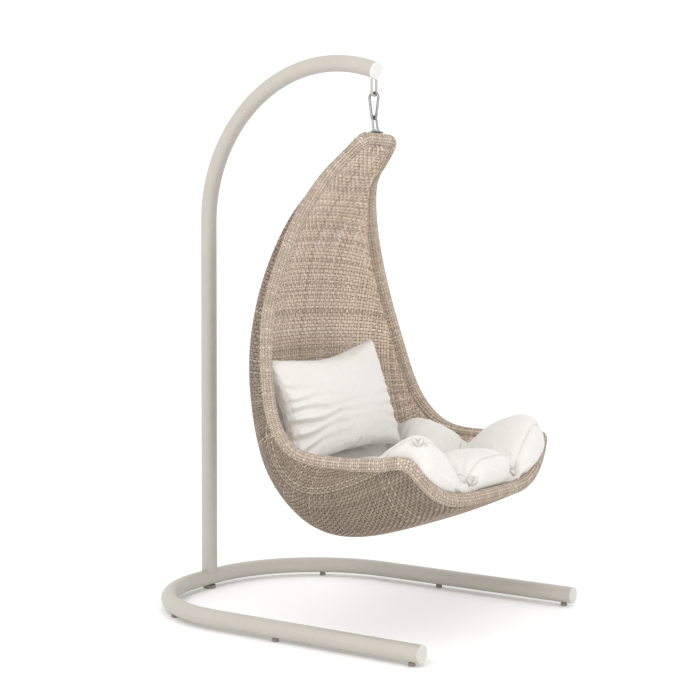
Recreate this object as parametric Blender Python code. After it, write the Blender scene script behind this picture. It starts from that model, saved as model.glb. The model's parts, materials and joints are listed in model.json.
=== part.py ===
"""Hanging egg chair on a U-shaped floor stand, as separate solids.

Metres, +Z up. The chair opens towards -Y and the stand's mast is behind it, at +Y. The origin is
on the floor, in the middle of the stand's footprint. Left and right are the sitter's, so the
right-hand side is at -X.
"""
import math

import bmesh
import bpy
import numpy as np
from mathutils import Matrix, Vector

# ---------------------------------------------------------------- driving dimensions
GAP = 0.0003                    # left between two pieces that touch

TUBE_RADIUS = 0.030             # base and mast tube
TUBE_WALL = 0.002
BASE_HEIGHT = 0.042             # centre of the base tube above the floor
ARM_X = 0.5245                  # centre line of each arm of the U
ARM_END_Y = -0.6630             # front end of the arms
BEND_RADIUS = 0.465             # rear corners of the U
MAST_Y = 0.637                  # mast axis, and the U's rear cross tube
MAST_ARC_Z = 1.417              # where the mast starts to bend forward
MAST_ARC_RADIUS = 0.565
MAST_ARC_DEG = 110.7

FOOT_RADIUS = 0.0120
FOOT_FRONT_Y = -0.628
FOOT_MIDDLE_Y = -0.087
FOOT_REAR_DEG = 32.3            # place of the rear feet, along the rear corner's bend
MAST_FOOT_RADIUS = 0.0245

HANG_Y = -0.1235                # the vertical line that everything hangs on
LUG_Z = 1.857                   # centre of the lug's bottom bar
LUG_ROD = 0.0045
LUG_HALF_WIDTH = 0.015
HOOK_ROD = 0.005                # snap hook
HOOK_LENGTH = 0.102
HOOK_TOP_BEND = 0.0185
HOOK_BOTTOM_BEND = 0.0095
GATE_ROD = 0.0045
GATE_PIVOT_UP = 0.0155          # gate pin above the centre of the hook's bottom bar
GATE_LENGTH = 0.0550
BOLT_ROD = 0.004                # U-bolt
BOLT_HALF_WIDTH = 0.013
BOLT_HOLE = 0.0043
LEG_END = 0.0230                # the legs' ends below the rim's axis
BOLT_LEAN_DEG = 9.6             # forward lean of the U-bolt's legs, going down
CROWN_AT = 0.0833               # along the legs, from the top of the U-bolt to the rim's axis

RIM_TUBE = 0.0125
RIM_WRAP = 0.0230
SKIN_OFFSET = 0.0195            # middle of each woven skin from the shell's mid surface
SKIN_THICK = 0.003
SPINE_TUBE = 0.008
RIB_ROD = 0.005

# The shell's cross sections, from the crown, down the back and under the seat to the front lip:
# half width at the rim, the rim's Y and Z, then the Y and Z of the middle of the section.
STATIONS = [
    (0.092, -0.142, 1.700, -0.137, 1.702),
    (0.119, -0.076, 1.628, -0.064, 1.635),
    (0.152, -0.012, 1.552, 0.008, 1.546),
    (0.230, 0.039, 1.411, 0.089, 1.441),
    (0.303, 0.059, 1.259, 0.156, 1.304),
    (0.372, 0.060, 1.104, 0.188, 1.137),
    (0.419, 0.035, 0.943, 0.212, 0.963),
    (0.449, -0.001, 0.803, 0.195, 0.780),
    (0.473, -0.055, 0.701, 0.153, 0.591),
    (0.491, -0.144, 0.633, 0.096, 0.445),
    (0.501, -0.271, 0.615, -0.048, 0.325),
    (0.502, -0.408, 0.617, -0.308, 0.358),
    (0.475, -0.543, 0.624, -0.613, 0.480),
]
LAST = len(STATIONS) - 1
CORNER_TOP_V = 0.28             # where the rim leaves its side to turn the crown's corner
CROWN_PHI = math.radians(47.7)  # and where that corner ends, across the crown
CORNER_FRONT_V = 11.45          # the same for the front corners
FRONT_PHI = math.radians(70.0)
RIM_STEPS = 12                  # along each side of the rim, between its corners
SKIN_COLUMNS = 13
RIBS = [("neck", 2.1), ("shoulder", 3.6), ("back", 5.3), ("waist", 7.6), ("seat", 9.9)]


# ---------------------------------------------------------------- materials and meshes
def material(name, colour, roughness, metallic=0.0):
    mat = bpy.data.materials.new(name)
    mat.use_nodes = True
    shader = mat.node_tree.nodes["Principled BSDF"]
    shader.inputs["Base Color"].default_value = (*colour, 1.0)
    shader.inputs["Roughness"].default_value = roughness
    shader.inputs["Metallic"].default_value = metallic
    return mat


def make_object(name, verts, faces, mat, origin=(0.0, 0.0, 0.0), sharp_deg=40.0):
    """A mesh object, with its origin at the given point and its faces pointing out."""
    mesh = bpy.data.meshes.new(name)
    shift = Vector(origin)
    mesh.from_pydata([tuple(Vector(v) - shift) for v in verts], [], faces)
    bm = bmesh.new()
    bm.from_mesh(mesh)
    bmesh.ops.remove_doubles(bm, verts=bm.verts, dist=1e-6)
    bmesh.ops.recalc_face_normals(bm, faces=bm.faces)
    bm.to_mesh(mesh)
    bm.free()
    mesh.shade_smooth()
    mesh.set_sharp_from_angle(angle=math.radians(sharp_deg))
    mesh.materials.append(mat)
    obj = bpy.data.objects.new(name, mesh)
    obj.location = shift
    bpy.context.scene.collection.objects.link(obj)
    return obj


def make_cutter(name, verts, faces):
    cutter = make_object(name, verts, faces, CUTTER_MATERIAL)
    cutter.hide_render = True
    cutter.display_type = "WIRE"
    return cutter


def boolean(obj, cutter, operation="DIFFERENCE"):
    cut = obj.modifiers.new(cutter.name, "BOOLEAN")
    cut.operation = operation
    cut.object = cutter
    cut.solver = "EXACT"


def merge(*parts):
    """Several (verts, faces) shapes as one list of each."""
    verts, faces = [], []
    for part_verts, part_faces in parts:
        start = len(verts)
        verts.extend(part_verts)
        faces.extend(tuple(i + start for i in face) for face in part_faces)
    return verts, faces


# ---------------------------------------------------------------- shapes
def carried_normals(path, first):
    """Normals carried along an open path without twist."""
    tangents = path_tangents(path, False)
    normals = []
    normal = Vector(first)
    for tangent in tangents:
        normal = (normal - tangent * normal.dot(tangent)).normalized()
        normals.append(normal.copy())
    return normals


def path_tangents(path, closed):
    count = len(path)
    tangents = []
    for i in range(count):
        before = path[i - 1] if closed or i > 0 else path[i]
        after = path[(i + 1) % count] if closed or i < count - 1 else path[i]
        tangents.append((after - before).normalized())
    if not closed and count > 2:
        for end, near in ((0, 1), (count - 1, count - 2)):
            chord, beside = tangents[end], tangents[near]
            tangents[end] = (2 * chord.dot(beside) * chord - beside).normalized()
    return tangents


def sweep(path, normals, profile, closed=False, flip=False):
    """A closed profile carried along a path; open ends get flat faces unless flip is None."""
    path = [Vector(p) for p in path]
    tangents = path_tangents(path, closed)
    size = len(profile)
    verts = []
    for point, tangent, normal in zip(path, tangents, normals):
        across = (normal - tangent * normal.dot(tangent)).normalized()
        side = tangent.cross(across)
        verts.extend(tuple(point + across * a + side * b) for a, b in profile)
    faces = []
    rings = len(path)
    for i in range(rings if closed else rings - 1):
        j = (i + 1) % rings
        for k in range(size):
            m = (k + 1) % size
            face = (i * size + k, i * size + m, j * size + m, j * size + k)
            faces.append(face[::-1] if flip else face)
    return verts, faces


def circle(radius, sides):
    step = math.tau / sides
    return [(radius * math.cos(step * k), radius * math.sin(step * k)) for k in range(sides)]


def rod(path, normals, radius, sides):
    """A solid round bar along an open path."""
    verts, faces = sweep(path, normals, circle(radius, sides))
    last = len(verts) - sides
    faces.append(tuple(reversed(range(sides))))
    faces.append(tuple(range(last, last + sides)))
    return verts, faces


def pipe(path, normals, outer, inner, sides, closed=False):
    """A hollow round tube along a path, open at both ends."""
    out_verts, out_faces = sweep(path, normals, circle(outer, sides), closed)
    in_verts, in_faces = sweep(path, normals, circle(inner, sides), closed, flip=True)
    verts, faces = merge((out_verts, out_faces), (in_verts, in_faces))
    if not closed:
        start = len(out_verts)
        for ring in (0, len(out_verts) - sides):
            for k in range(sides):
                m = (k + 1) % sides
                faces.append((ring + k, ring + m, start + ring + m, start + ring + k))
    return verts, faces


def turned(profile, sides, centre, axis, closed=False):
    """A profile of (radius, height) turned about an axis. Open profiles start and end on it."""
    axis = Vector(axis).normalized()
    frame = axis.to_track_quat("Z", "Y").to_matrix()
    centre = Vector(centre)
    verts, faces, rings = [], [], []
    for radius, height in profile:
        if radius == 0.0:
            rings.append([len(verts)] * sides)
            verts.append(tuple(centre + axis * height))
            continue
        rings.append([len(verts) + k for k in range(sides)])
        for x, y in circle(radius, sides):
            verts.append(tuple(centre + frame @ Vector((x, y, height))))
    count = len(rings)
    for i in range(count if closed else count - 1):
        low, high = rings[i], rings[(i + 1) % count]
        for k in range(sides):
            m = (k + 1) % sides
            face = []
            for index in (low[k], low[m], high[m], high[k]):
                if index not in face:
                    face.append(index)
            if len(face) > 2:
                faces.append(tuple(face))
    return verts, faces


def cylinder(radius, start, end, sides):
    start, end = Vector(start), Vector(end)
    length = (end - start).length
    return turned([(0.0, 0.0), (radius, 0.0), (radius, length), (0.0, length)],
                  sides, start, end - start)


def box(low, high):
    corners = [(x, y, z) for x in (low[0], high[0]) for y in (low[1], high[1])
               for z in (low[2], high[2])]
    faces = [(0, 1, 3, 2), (4, 6, 7, 5), (0, 4, 5, 1), (2, 3, 7, 6), (0, 2, 6, 4), (1, 5, 7, 3)]
    return corners, faces


def arc_points(centre, radius, first_deg, last_deg, count, across, up):
    """Points on an arc in the plane of two unit vectors."""
    centre, across, up = Vector(centre), Vector(across), Vector(up)
    points = []
    for k in range(count):
        angle = math.radians(first_deg + (last_deg - first_deg) * k / (count - 1))
        points.append(centre + radius * (across * math.cos(angle) + up * math.sin(angle)))
    return points


# ---------------------------------------------------------------- the shell's surface
def spline_bends(values):
    """Second derivatives of the natural cubic spline through equally spaced rows."""
    count = len(values)
    matrix = np.eye(count)
    right = np.zeros_like(values)
    for i in range(1, count - 1):
        matrix[i, i - 1:i + 2] = (1.0, 4.0, 1.0)
        right[i] = 6.0 * (values[i - 1] - 2.0 * values[i] + values[i + 1])
    return np.linalg.solve(matrix, right)


STATION_VALUES = np.array(STATIONS)
STATION_BENDS = spline_bends(STATION_VALUES)


def station(v):
    """The section's five measures at a place between 0, the crown, and LAST, the front lip."""
    i = min(max(int(v), 0), LAST - 1)
    b = v - i
    a = 1.0 - b
    return (a * STATION_VALUES[i] + b * STATION_VALUES[i + 1]
            + ((a ** 3 - a) * STATION_BENDS[i] + (b ** 3 - b) * STATION_BENDS[i + 1]) / 6.0)


def smooth_step(t):
    t = min(max(t, 0.0), 1.0)
    return t * t * (3.0 - 2.0 * t)


def shell_point(v, phi):
    """Mid surface of the shell. phi runs from -90 degrees at one rim to 90 at the other."""
    half, rim_y, rim_z, mid_y, mid_z = station(v)
    depth = math.cos(phi)
    front = smooth_step((v - 9.0) / 3.0)
    rounded = smooth_step((depth - 0.24) / 0.73)
    drop = (1.0 - front) * depth + front * rounded
    return Vector((half * math.sin(phi), rim_y + (mid_y - rim_y) * depth,
                   rim_z + (mid_z - rim_z) * drop))


def shell_slopes(v, phi):
    step = 1e-4
    v0, v1 = max(v - step, 0.0), min(v + step, LAST)
    along = (shell_point(v1, phi) - shell_point(v0, phi)) / (v1 - v0)
    across = (shell_point(v, phi + step) - shell_point(v, phi - step)) / (2.0 * step)
    return along, across


def shell_offset(v, phi, distance):
    """A point at a distance outside the mid surface, or inside it when negative."""
    along, across = shell_slopes(v, phi)
    return shell_point(v, phi) + across.cross(along).normalized() * distance


def phi_clear(v, clearance):
    """The angle at which a section is this far from the rim's centre line."""
    low, high = 0.0, math.pi / 2
    rim = shell_point(v, high)
    for _ in range(30):
        middle = (low + high) / 2
        if (shell_point(v, middle) - rim).length > clearance:
            low = middle
        else:
            high = middle
    return low


def rim_phi(v):
    """The rim's angle at a station: 90 degrees, and less round the crown and front corners."""
    for near, border, border_phi in ((CORNER_TOP_V, 0, CROWN_PHI), (CORNER_FRONT_V, LAST, FRONT_PHI)):
        t = (v - near) / (border - near)
        if t > 0:
            turned_in = 1 - math.sqrt(max(1 - t, 0.0))
            return math.pi / 2 - (math.pi / 2 - border_phi) * turned_in ** 2
    return math.pi / 2


def bend_between(start, leaving, end, arriving, steps):
    """Points on a smooth bend from one place and direction to another, without its ends."""
    reach = 0.40 * (end - start).length
    control = (start, start + leaving * reach, end - arriving * reach, end)
    points = []
    for k in range(steps):
        t = (k + 0.5) / steps
        weights = ((1 - t) ** 3, 3 * t * (1 - t) ** 2, 3 * t * t * (1 - t), t ** 3)
        points.append(sum((p * w for p, w in zip(control, weights)), Vector()))
    return points


def side_stations(steps):
    return [CORNER_TOP_V + (CORNER_FRONT_V - CORNER_TOP_V) * k / steps for k in range(steps + 1)]


def rim_path():
    """The rim's closed centre line, and at each point the direction into the shell."""
    side = side_stations(RIM_STEPS)
    points, inward = [], []

    def add(point, direction):
        points.append(Vector(point))
        inward.append(Vector(direction).normalized())

    def add_side(sign, places):
        for v in places:
            point = shell_point(v, sign * math.pi / 2)
            add(point, shell_point(v, sign * phi_clear(v, 0.035)) - point)

    def add_corner(sign, near, border, border_phi, reverse):
        quarter = sign * math.pi / 2
        leaving = shell_slopes(near, quarter)[0] * (border - near)
        arriving = shell_slopes(border, sign * border_phi)[1] * -sign
        bend = bend_between(shell_point(near, quarter), leaving.normalized(),
                            shell_point(border, sign * border_phi), arriving.normalized(), 4)
        inside = shell_point(abs(border - 1.2), sign * math.radians(40.0))
        for point in (reversed(bend) if reverse else bend):
            add(point, inside - point)

    add_side(1, side)
    add_corner(1, CORNER_FRONT_V, LAST, FRONT_PHI, False)
    for k in range(9):
        phi = FRONT_PHI * (1 - k / 4)
        along, across = shell_slopes(LAST, phi)
        add(shell_point(LAST, phi), -along)
    add_corner(-1, CORNER_FRONT_V, LAST, FRONT_PHI, True)
    add_side(-1, reversed(side))
    add_corner(-1, CORNER_TOP_V, 0, CROWN_PHI, False)
    for k in range(3):
        phi = math.asin(math.sin(CROWN_PHI) * (k - 1))
        along, across = shell_slopes(0, phi)
        add(shell_point(0, phi), along)
    add_corner(1, CORNER_TOP_V, 0, CROWN_PHI, True)
    for _ in range(8):
        inward = [(inward[i - 1] + inward[i] + inward[(i + 1) % len(inward)]).normalized()
                  for i in range(len(inward))]
    return points, inward


def rim_distance(point):
    """Distance from a point to the rim's centre line."""
    nearest = 1.0
    for i, start in enumerate(RIM_POINTS):
        span = start - RIM_POINTS[i - 1]
        along = (point - RIM_POINTS[i - 1]).dot(span) / span.length_squared
        foot = RIM_POINTS[i - 1] + span * min(max(along, 0.0), 1.0)
        nearest = min(nearest, (point - foot).length)
    return nearest


def edge_phi(v, outside, inside):
    """The widest angle at which both faces of a skin are clear of the rim's wrapping."""
    low, high = 0.0, rim_phi(v)
    for _ in range(14):
        middle = (low + high) / 2
        faces = (shell_offset(v, middle, outside), shell_offset(v, middle, inside))
        if min(rim_distance(face) for face in faces) > RIM_WRAP + 6 * GAP:
            low = middle
        else:
            high = middle
    return low


def skin_grid(middle):
    """Rows of (v, angles) that cover the skin with this middle offset, from rim to rim."""
    rows = []
    for v in [0.15] + side_stations(2 * RIM_STEPS) + [11.65, 11.82, 11.94]:
        limit = edge_phi(v, middle + SKIN_THICK / 2, middle - SKIN_THICK / 2)
        rows.append((v, [limit * (2 * k / (SKIN_COLUMNS - 1) - 1) for k in range(SKIN_COLUMNS)]))
    return rows


def close_grids(top, bottom, rows, columns):
    """Two grids of points joined round their edges into one closed solid.

    Each cell is split along the same diagonal, mirrored left and right, so that two solids on
    the same grid lines lie against each other without crossing.
    """
    size = rows * columns
    faces = []
    for i in range(rows - 1):
        for k in range(columns - 1):
            a = i * columns + k
            b, c, d = a + 1, a + columns + 1, a + columns
            halves = ((a, b, c), (a, c, d)) if k < columns // 2 else ((a, b, d), (b, c, d))
            faces.extend(halves)
            faces.extend(tuple(size + n for n in reversed(half)) for half in halves)
    border = [k for k in range(columns)]
    border += [i * columns + columns - 1 for i in range(1, rows)]
    border += [(rows - 1) * columns + k for k in range(columns - 2, -1, -1)]
    border += [i * columns for i in range(rows - 2, 0, -1)]
    for n, a in enumerate(border):
        b = border[(n + 1) % len(border)]
        faces.append((a, size + a, size + b, b))
    return top + bottom, faces


# ---------------------------------------------------------------- stand
def base_path():
    path = [Vector((ARM_X, ARM_END_Y, BASE_HEIGHT)), Vector((ARM_X, -0.2, BASE_HEIGHT))]
    centre_x = ARM_X - BEND_RADIUS
    centre_y = MAST_Y - BEND_RADIUS
    path += arc_points((centre_x, centre_y, BASE_HEIGHT), BEND_RADIUS, 0, 90, 10,
                       (1, 0, 0), (0, 1, 0))
    left = [Vector((-p.x, p.y, p.z)) for p in reversed(path)]
    return path + left


def mast_path(start_z):
    path = [Vector((0, MAST_Y, start_z)), Vector((0, MAST_Y, (start_z + MAST_ARC_Z) / 2))]
    path += arc_points((0, MAST_Y - MAST_ARC_RADIUS, MAST_ARC_Z), MAST_ARC_RADIUS,
                       0, MAST_ARC_DEG, 17, (0, 1, 0), (0, 0, 1))
    return path


def mast_tip():
    """The end of the mast's centre line and the direction it points in."""
    angle = math.radians(MAST_ARC_DEG)
    tip = Vector((0, MAST_Y - MAST_ARC_RADIUS + MAST_ARC_RADIUS * math.cos(angle),
                  MAST_ARC_Z + MAST_ARC_RADIUS * math.sin(angle)))
    return tip, Vector((0, -math.sin(angle), math.cos(angle)))


def foot_places():
    angle = math.radians(FOOT_REAR_DEG)
    rear = (ARM_X - BEND_RADIUS * (1 - math.cos(angle)),
            MAST_Y - BEND_RADIUS * (1 - math.sin(angle)))
    places = []
    for word, (x, y) in (("front", (ARM_X, FOOT_FRONT_Y)), ("middle", (ARM_X, FOOT_MIDDLE_Y)),
                         ("rear", rear)):
        places.append((f"{word}_left", x, y))
        places.append((f"{word}_right", -x, y))
    return places


def build_base(steel, plastic, rubber, zinc):
    inner = TUBE_RADIUS - TUBE_WALL
    path = base_path()
    verts, faces = pipe(path, [Vector((0, 0, 1))] * len(path), TUBE_RADIUS, inner, 16)
    base = make_object("base_tube", verts, faces, steel)
    screw_places = foot_places() + [("mast", 0.0, MAST_Y)]
    holes = [cylinder(0.0026, (x, y, 0.005), (x, y, 0.022), 8) for _, x, y in screw_places]
    boolean(base, make_cutter("screw_holes", *merge(*holes)))

    plug, flange = inner - GAP, TUBE_RADIUS
    for name, x in (("base_end_cap_left", ARM_X), ("base_end_cap_right", -ARM_X)):
        profile = [(0.0, -0.018), (plug - 0.001, -0.018), (plug, -0.016), (plug, GAP),
                   (flange, GAP), (flange, 0.003), (flange - 0.001, 0.004), (0.0, 0.004)]
        make_object(name, *turned(profile, 16, (x, ARM_END_Y, BASE_HEIGHT), (0, -1, 0)), plastic)

    seat = BASE_HEIGHT - TUBE_RADIUS - GAP
    for name, x, y in foot_places():
        foot = [(0.0052, 0.0), (FOOT_RADIUS - 0.0015, 0.0), (FOOT_RADIUS, 0.0015),
                (FOOT_RADIUS - 0.001, seat), (0.0026, seat), (0.0026, 0.0055), (0.0052, 0.0055)]
        make_object(f"foot_{name}", *turned(foot, 12, (x, y, 0), (0, 0, 1), closed=True), rubber)
    puck = [(0.0052, 0.0), (MAST_FOOT_RADIUS - 0.002, 0.0), (MAST_FOOT_RADIUS, 0.002),
            (MAST_FOOT_RADIUS - 0.001, seat), (0.0026, seat), (0.0026, 0.0055), (0.0052, 0.0055)]
    make_object("foot_mast", *turned(puck, 20, (0, MAST_Y, 0), (0, 0, 1), closed=True), rubber)

    for name, x, y in screw_places:
        shape = [(0.0, 0.002), (0.0042, 0.0022), (0.0042, 0.0052), (0.0022, 0.0052),
                 (0.0022, 0.021), (0.0, 0.022)]
        make_object(f"foot_screw_{name}", *turned(shape, 8, (x, y, 0), (0, 0, 1)), zinc)


def build_mast(steel, plate_paint, zinc):
    inner = TUBE_RADIUS - TUBE_WALL
    saddle = make_cutter("saddle", *cylinder(TUBE_RADIUS + GAP, (-0.05, MAST_Y, BASE_HEIGHT),
                                             (0.05, MAST_Y, BASE_HEIGHT), 40))
    bolts = (("lower", 0.130), ("upper", 0.190))
    holes = [cylinder(0.0043, (0.015, MAST_Y, z), (0.040, MAST_Y, z), 12)
             for _, z in bolts]
    bolt_holes = make_cutter("mast_bolt_holes", *merge(*holes))

    path = mast_path(BASE_HEIGHT + 0.004)
    verts, faces = pipe(path, [Vector((1, 0, 0))] * len(path), TUBE_RADIUS, inner, 16)
    mast = make_object("mast_tube", verts, faces, steel)
    spigot_outer = inner - GAP
    sleeve = [Vector((0, MAST_Y, BASE_HEIGHT + 0.004)), Vector((0, MAST_Y, 0.235))]
    verts, faces = pipe(sleeve, [Vector((1, 0, 0))] * 2, spigot_outer, spigot_outer - 0.0025, 16)
    spigot = make_object("mast_spigot", verts, faces, steel)
    for obj in (mast, spigot):
        boolean(obj, saddle)
        boolean(obj, bolt_holes)

    for word, z in bolts:
        head = TUBE_RADIUS + GAP
        shape = [(0.0, 0.0170), (0.0036, 0.0170), (0.0040, 0.0178), (0.0040, head), (0.0072, head),
                 (0.0066, head + 0.0030), (0.0040, head + 0.0042), (0.0, head + 0.0044)]
        make_object(f"mast_bolt_{word}", *turned(shape, 12, (0, MAST_Y, z), (1, 0, 0)), zinc)
        inside = spigot_outer - 0.0025 - 0.0020
        ring = [(0.0050, inside - 0.0060), (0.0075, inside - 0.0060), (0.0075, inside),
                (0.0050, inside)]
        make_object(f"mast_nut_{word}", *turned(ring, 6, (0, MAST_Y, z), (1, 0, 0), closed=True),
                    zinc, sharp_deg=20)

    tip, ahead = mast_tip()
    radius = TUBE_RADIUS + 0.002
    plate = [(0.0, GAP), (radius - 0.001, GAP), (radius, 0.0013), (radius, 0.0068),
             (radius - 0.0015, 0.0083), (0.0, 0.0083)]
    make_object("mast_end_plate", *turned(plate, 28, tip, ahead), plate_paint)

    bend = 0.011
    path = [Vector((LUG_HALF_WIDTH, HANG_Y, tip.z))]
    for sign, angles in ((1, (0, -90)), (-1, (-90, -180))):
        path += arc_points((sign * (LUG_HALF_WIDTH - bend), HANG_Y, LUG_Z + bend), bend,
                           *angles, 6, (1, 0, 0), (0, 0, 1))
    path.append(Vector((-LUG_HALF_WIDTH, HANG_Y, tip.z)))
    lug = make_object("hanger_lug", *rod(path, [Vector((0, 1, 0))] * len(path), LUG_ROD, 10),
                      plate_paint)
    boolean(lug, make_cutter("lug_tops", *cylinder(radius + GAP, tip - ahead * 0.03,
                                                   tip + ahead * 0.03, 56)))


# ---------------------------------------------------------------- snap hook
HOOK_TOP = LUG_Z + LUG_ROD + HOOK_ROD + GAP             # centre of the hook's top bar
HOOK_BOTTOM = HOOK_TOP + 2 * HOOK_ROD - HOOK_LENGTH     # centre of its bottom bar
BOLT_TOP = HOOK_BOTTOM + HOOK_ROD + BOLT_ROD + GAP      # centre of the U-bolt's top bar


def hook_side():
    """The straight side between the two bends: its slope, and its ends on the gate's side."""
    top_z = HOOK_TOP - HOOK_TOP_BEND
    low_z = HOOK_BOTTOM + HOOK_BOTTOM_BEND
    slope = math.asin((HOOK_TOP_BEND - HOOK_BOTTOM_BEND) / (top_z - low_z))
    top = Vector((0, HANG_Y - HOOK_TOP_BEND * math.cos(slope),
                  top_z - HOOK_TOP_BEND * math.sin(slope)))
    low = Vector((0, HANG_Y - HOOK_BOTTOM_BEND * math.cos(slope),
                  low_z - HOOK_BOTTOM_BEND * math.sin(slope)))
    return slope, top, low


def gate_line():
    """The gate's pivot and the direction from it to the gate's tip."""
    slope, top, low = hook_side()
    ahead = (top - low).normalized()
    pivot = low + ahead * ((HOOK_BOTTOM + GATE_PIVOT_UP - low.z) / ahead.z)
    return pivot, ahead


def build_hook(zinc, bright):
    slope, top, low = hook_side()
    degrees = math.degrees(slope)
    pivot, ahead = gate_line()
    tip = pivot + ahead * GATE_LENGTH
    top_centre = (0, HANG_Y, HOOK_TOP - HOOK_TOP_BEND)
    low_centre = (0, HANG_Y, HOOK_BOTTOM + HOOK_BOTTOM_BEND)
    nose = tip + ahead * 0.0006
    above = (top - nose).dot(ahead)
    path = [nose] if above > 0.002 else []
    path += arc_points(top_centre, HOOK_TOP_BEND, 180 + degrees, -degrees, 13, (0, 1, 0), (0, 0, 1))
    path += arc_points(low_centre, HOOK_BOTTOM_BEND, -degrees, -180 + degrees, 9,
                       (0, 1, 0), (0, 0, 1))
    path.append(pivot - ahead * 0.0058)
    normals = [Vector((1, 0, 0))] * len(path)
    hook = make_object("snap_hook", *rod(path, normals, HOOK_ROD, 10), bright)

    across = Vector((1, 0, 0))
    side = ahead.cross(across)
    plate = []
    for x in (-0.0018, 0.0018):
        plate += [across * x + pivot - ahead * 0.0085 - side * 0.0035,
                  across * x + pivot - ahead * 0.0085 + side * 0.0035]
        plate += [across * x + p for p in arc_points(pivot, 0.0040, 0, 180, 9, side, ahead)]
    count = len(plate) // 2
    faces = [tuple(range(count)), tuple(reversed(range(count, 2 * count)))]
    faces += [(k, k + count, (k + 1) % count + count, (k + 1) % count) for k in range(count)]
    tongue = make_cutter("hook_tongue", plate, faces)
    boolean(hook, tongue, "UNION")
    pin_hole = make_cutter("gate_pin_hole", *cylinder(0.0019, pivot - across * 0.01,
                                                      pivot + across * 0.01, 10))
    boolean(hook, pin_hole)
    shape = [(0.0, -0.0058), (0.0026, -0.0056), (0.0026, -0.0048), (0.0016, -0.0048),
             (0.0016, 0.0048), (0.0026, 0.0048), (0.0026, 0.0056), (0.0, 0.0058)]
    make_object("gate_pin", *turned(shape, 10, pivot, across), bright)

    path = [pivot - ahead * 0.0034, pivot + ahead * 0.03, tip]
    gate = make_object("snap_gate", *rod(path, [across] * 3, GATE_ROD, 12), bright, origin=pivot)
    slot_low, slot_high = pivot - ahead * 0.012, pivot + ahead * 0.0046
    slot = [across * x + point + side * (0.0075 * s)
            for x in (-0.0022, 0.0022) for point in (slot_low, slot_high) for s in (-1, 1)]
    slot_faces = [(0, 1, 3, 2), (4, 6, 7, 5), (0, 4, 5, 1), (2, 3, 7, 6), (0, 2, 6, 4), (1, 5, 7, 3)]
    bore = cylinder(0.0029, pivot + ahead * 0.0040, pivot + ahead * 0.0260, 10)
    boolean(gate, make_cutter("gate_slot", slot, slot_faces))
    boolean(gate, make_cutter("gate_bore", *bore))
    boolean(gate, pin_hole)

    turns, steps = 5, 6
    coil = []
    for k in range(turns * steps + 1):
        angle = math.tau * k / steps
        coil.append(pivot + ahead * (0.0075 + 0.0155 * k / (turns * steps))
                    + (across * math.cos(angle) + side * math.sin(angle)) * 0.0019)
    make_object("gate_spring", *rod(coil, carried_normals(coil, across), 0.0005, 5), zinc)


# ---------------------------------------------------------------- chair hardware
BOLT_DOWN = Vector((0, -math.sin(math.radians(BOLT_LEAN_DEG)),
                    -math.cos(math.radians(BOLT_LEAN_DEG))))
BOLT_APEX = Vector((0, HANG_Y, BOLT_TOP))
CROWN_CENTRE = BOLT_APEX + BOLT_DOWN * CROWN_AT


def on_leg(sign, along):
    """A point on a leg's axis, measured along the leg from the rim's axis, down positive."""
    return CROWN_CENTRE + BOLT_DOWN * along + Vector((sign * BOLT_HALF_WIDTH, 0, 0))


def build_hanger(bright, zinc):
    centre = BOLT_APEX + BOLT_DOWN * BOLT_HALF_WIDTH
    path = [on_leg(1, LEG_END)]
    path += arc_points(centre, BOLT_HALF_WIDTH, 0, 180, 11, (1, 0, 0), -BOLT_DOWN)
    path.append(on_leg(-1, LEG_END))
    normals = carried_normals(path, Vector((0, 1, 0)))
    make_object("hanger_u_bolt", *rod(path, normals, BOLT_ROD, 12), bright)

    side = Vector((1, 0, 0)).cross(BOLT_DOWN)
    low, high = -(RIM_WRAP + 0.0042), -(RIM_WRAP + 0.0004)
    corners = [CROWN_CENTRE + Vector((x, 0, 0)) + side * s + BOLT_DOWN * d
               for x in (-0.034, 0.034) for s in (-0.0115, 0.0115) for d in (low, high)]
    faces = [(0, 1, 3, 2), (4, 6, 7, 5), (0, 4, 5, 1), (2, 3, 7, 6), (0, 2, 6, 4), (1, 5, 7, 3)]
    plate = make_object("crown_plate", corners, faces, zinc)
    boolean(plate, leg_holes)

    def ring(name, sign, radius, start, end, sides):
        hole = BOLT_HOLE / math.cos(math.pi / sides)
        profile = [(hole, start), (radius, start), (radius, end), (hole, end)]
        side = "left" if sign == 1 else "right"
        make_object(f"{name}_{side}", *turned(profile, sides, on_leg(sign, 0), BOLT_DOWN,
                                              closed=True), zinc, sharp_deg=20)

    for sign in (1, -1):
        ring("crown_nut_upper", sign, 0.0075, low - 0.0068, low - GAP, 6)
        ring("crown_washer", sign, 0.0080, RIM_TUBE + 0.0004, RIM_TUBE + 0.0019, 12)
        ring("crown_nut_lower", sign, 0.0075, RIM_TUBE + 0.0022, RIM_TUBE + 0.0087, 6)


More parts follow.
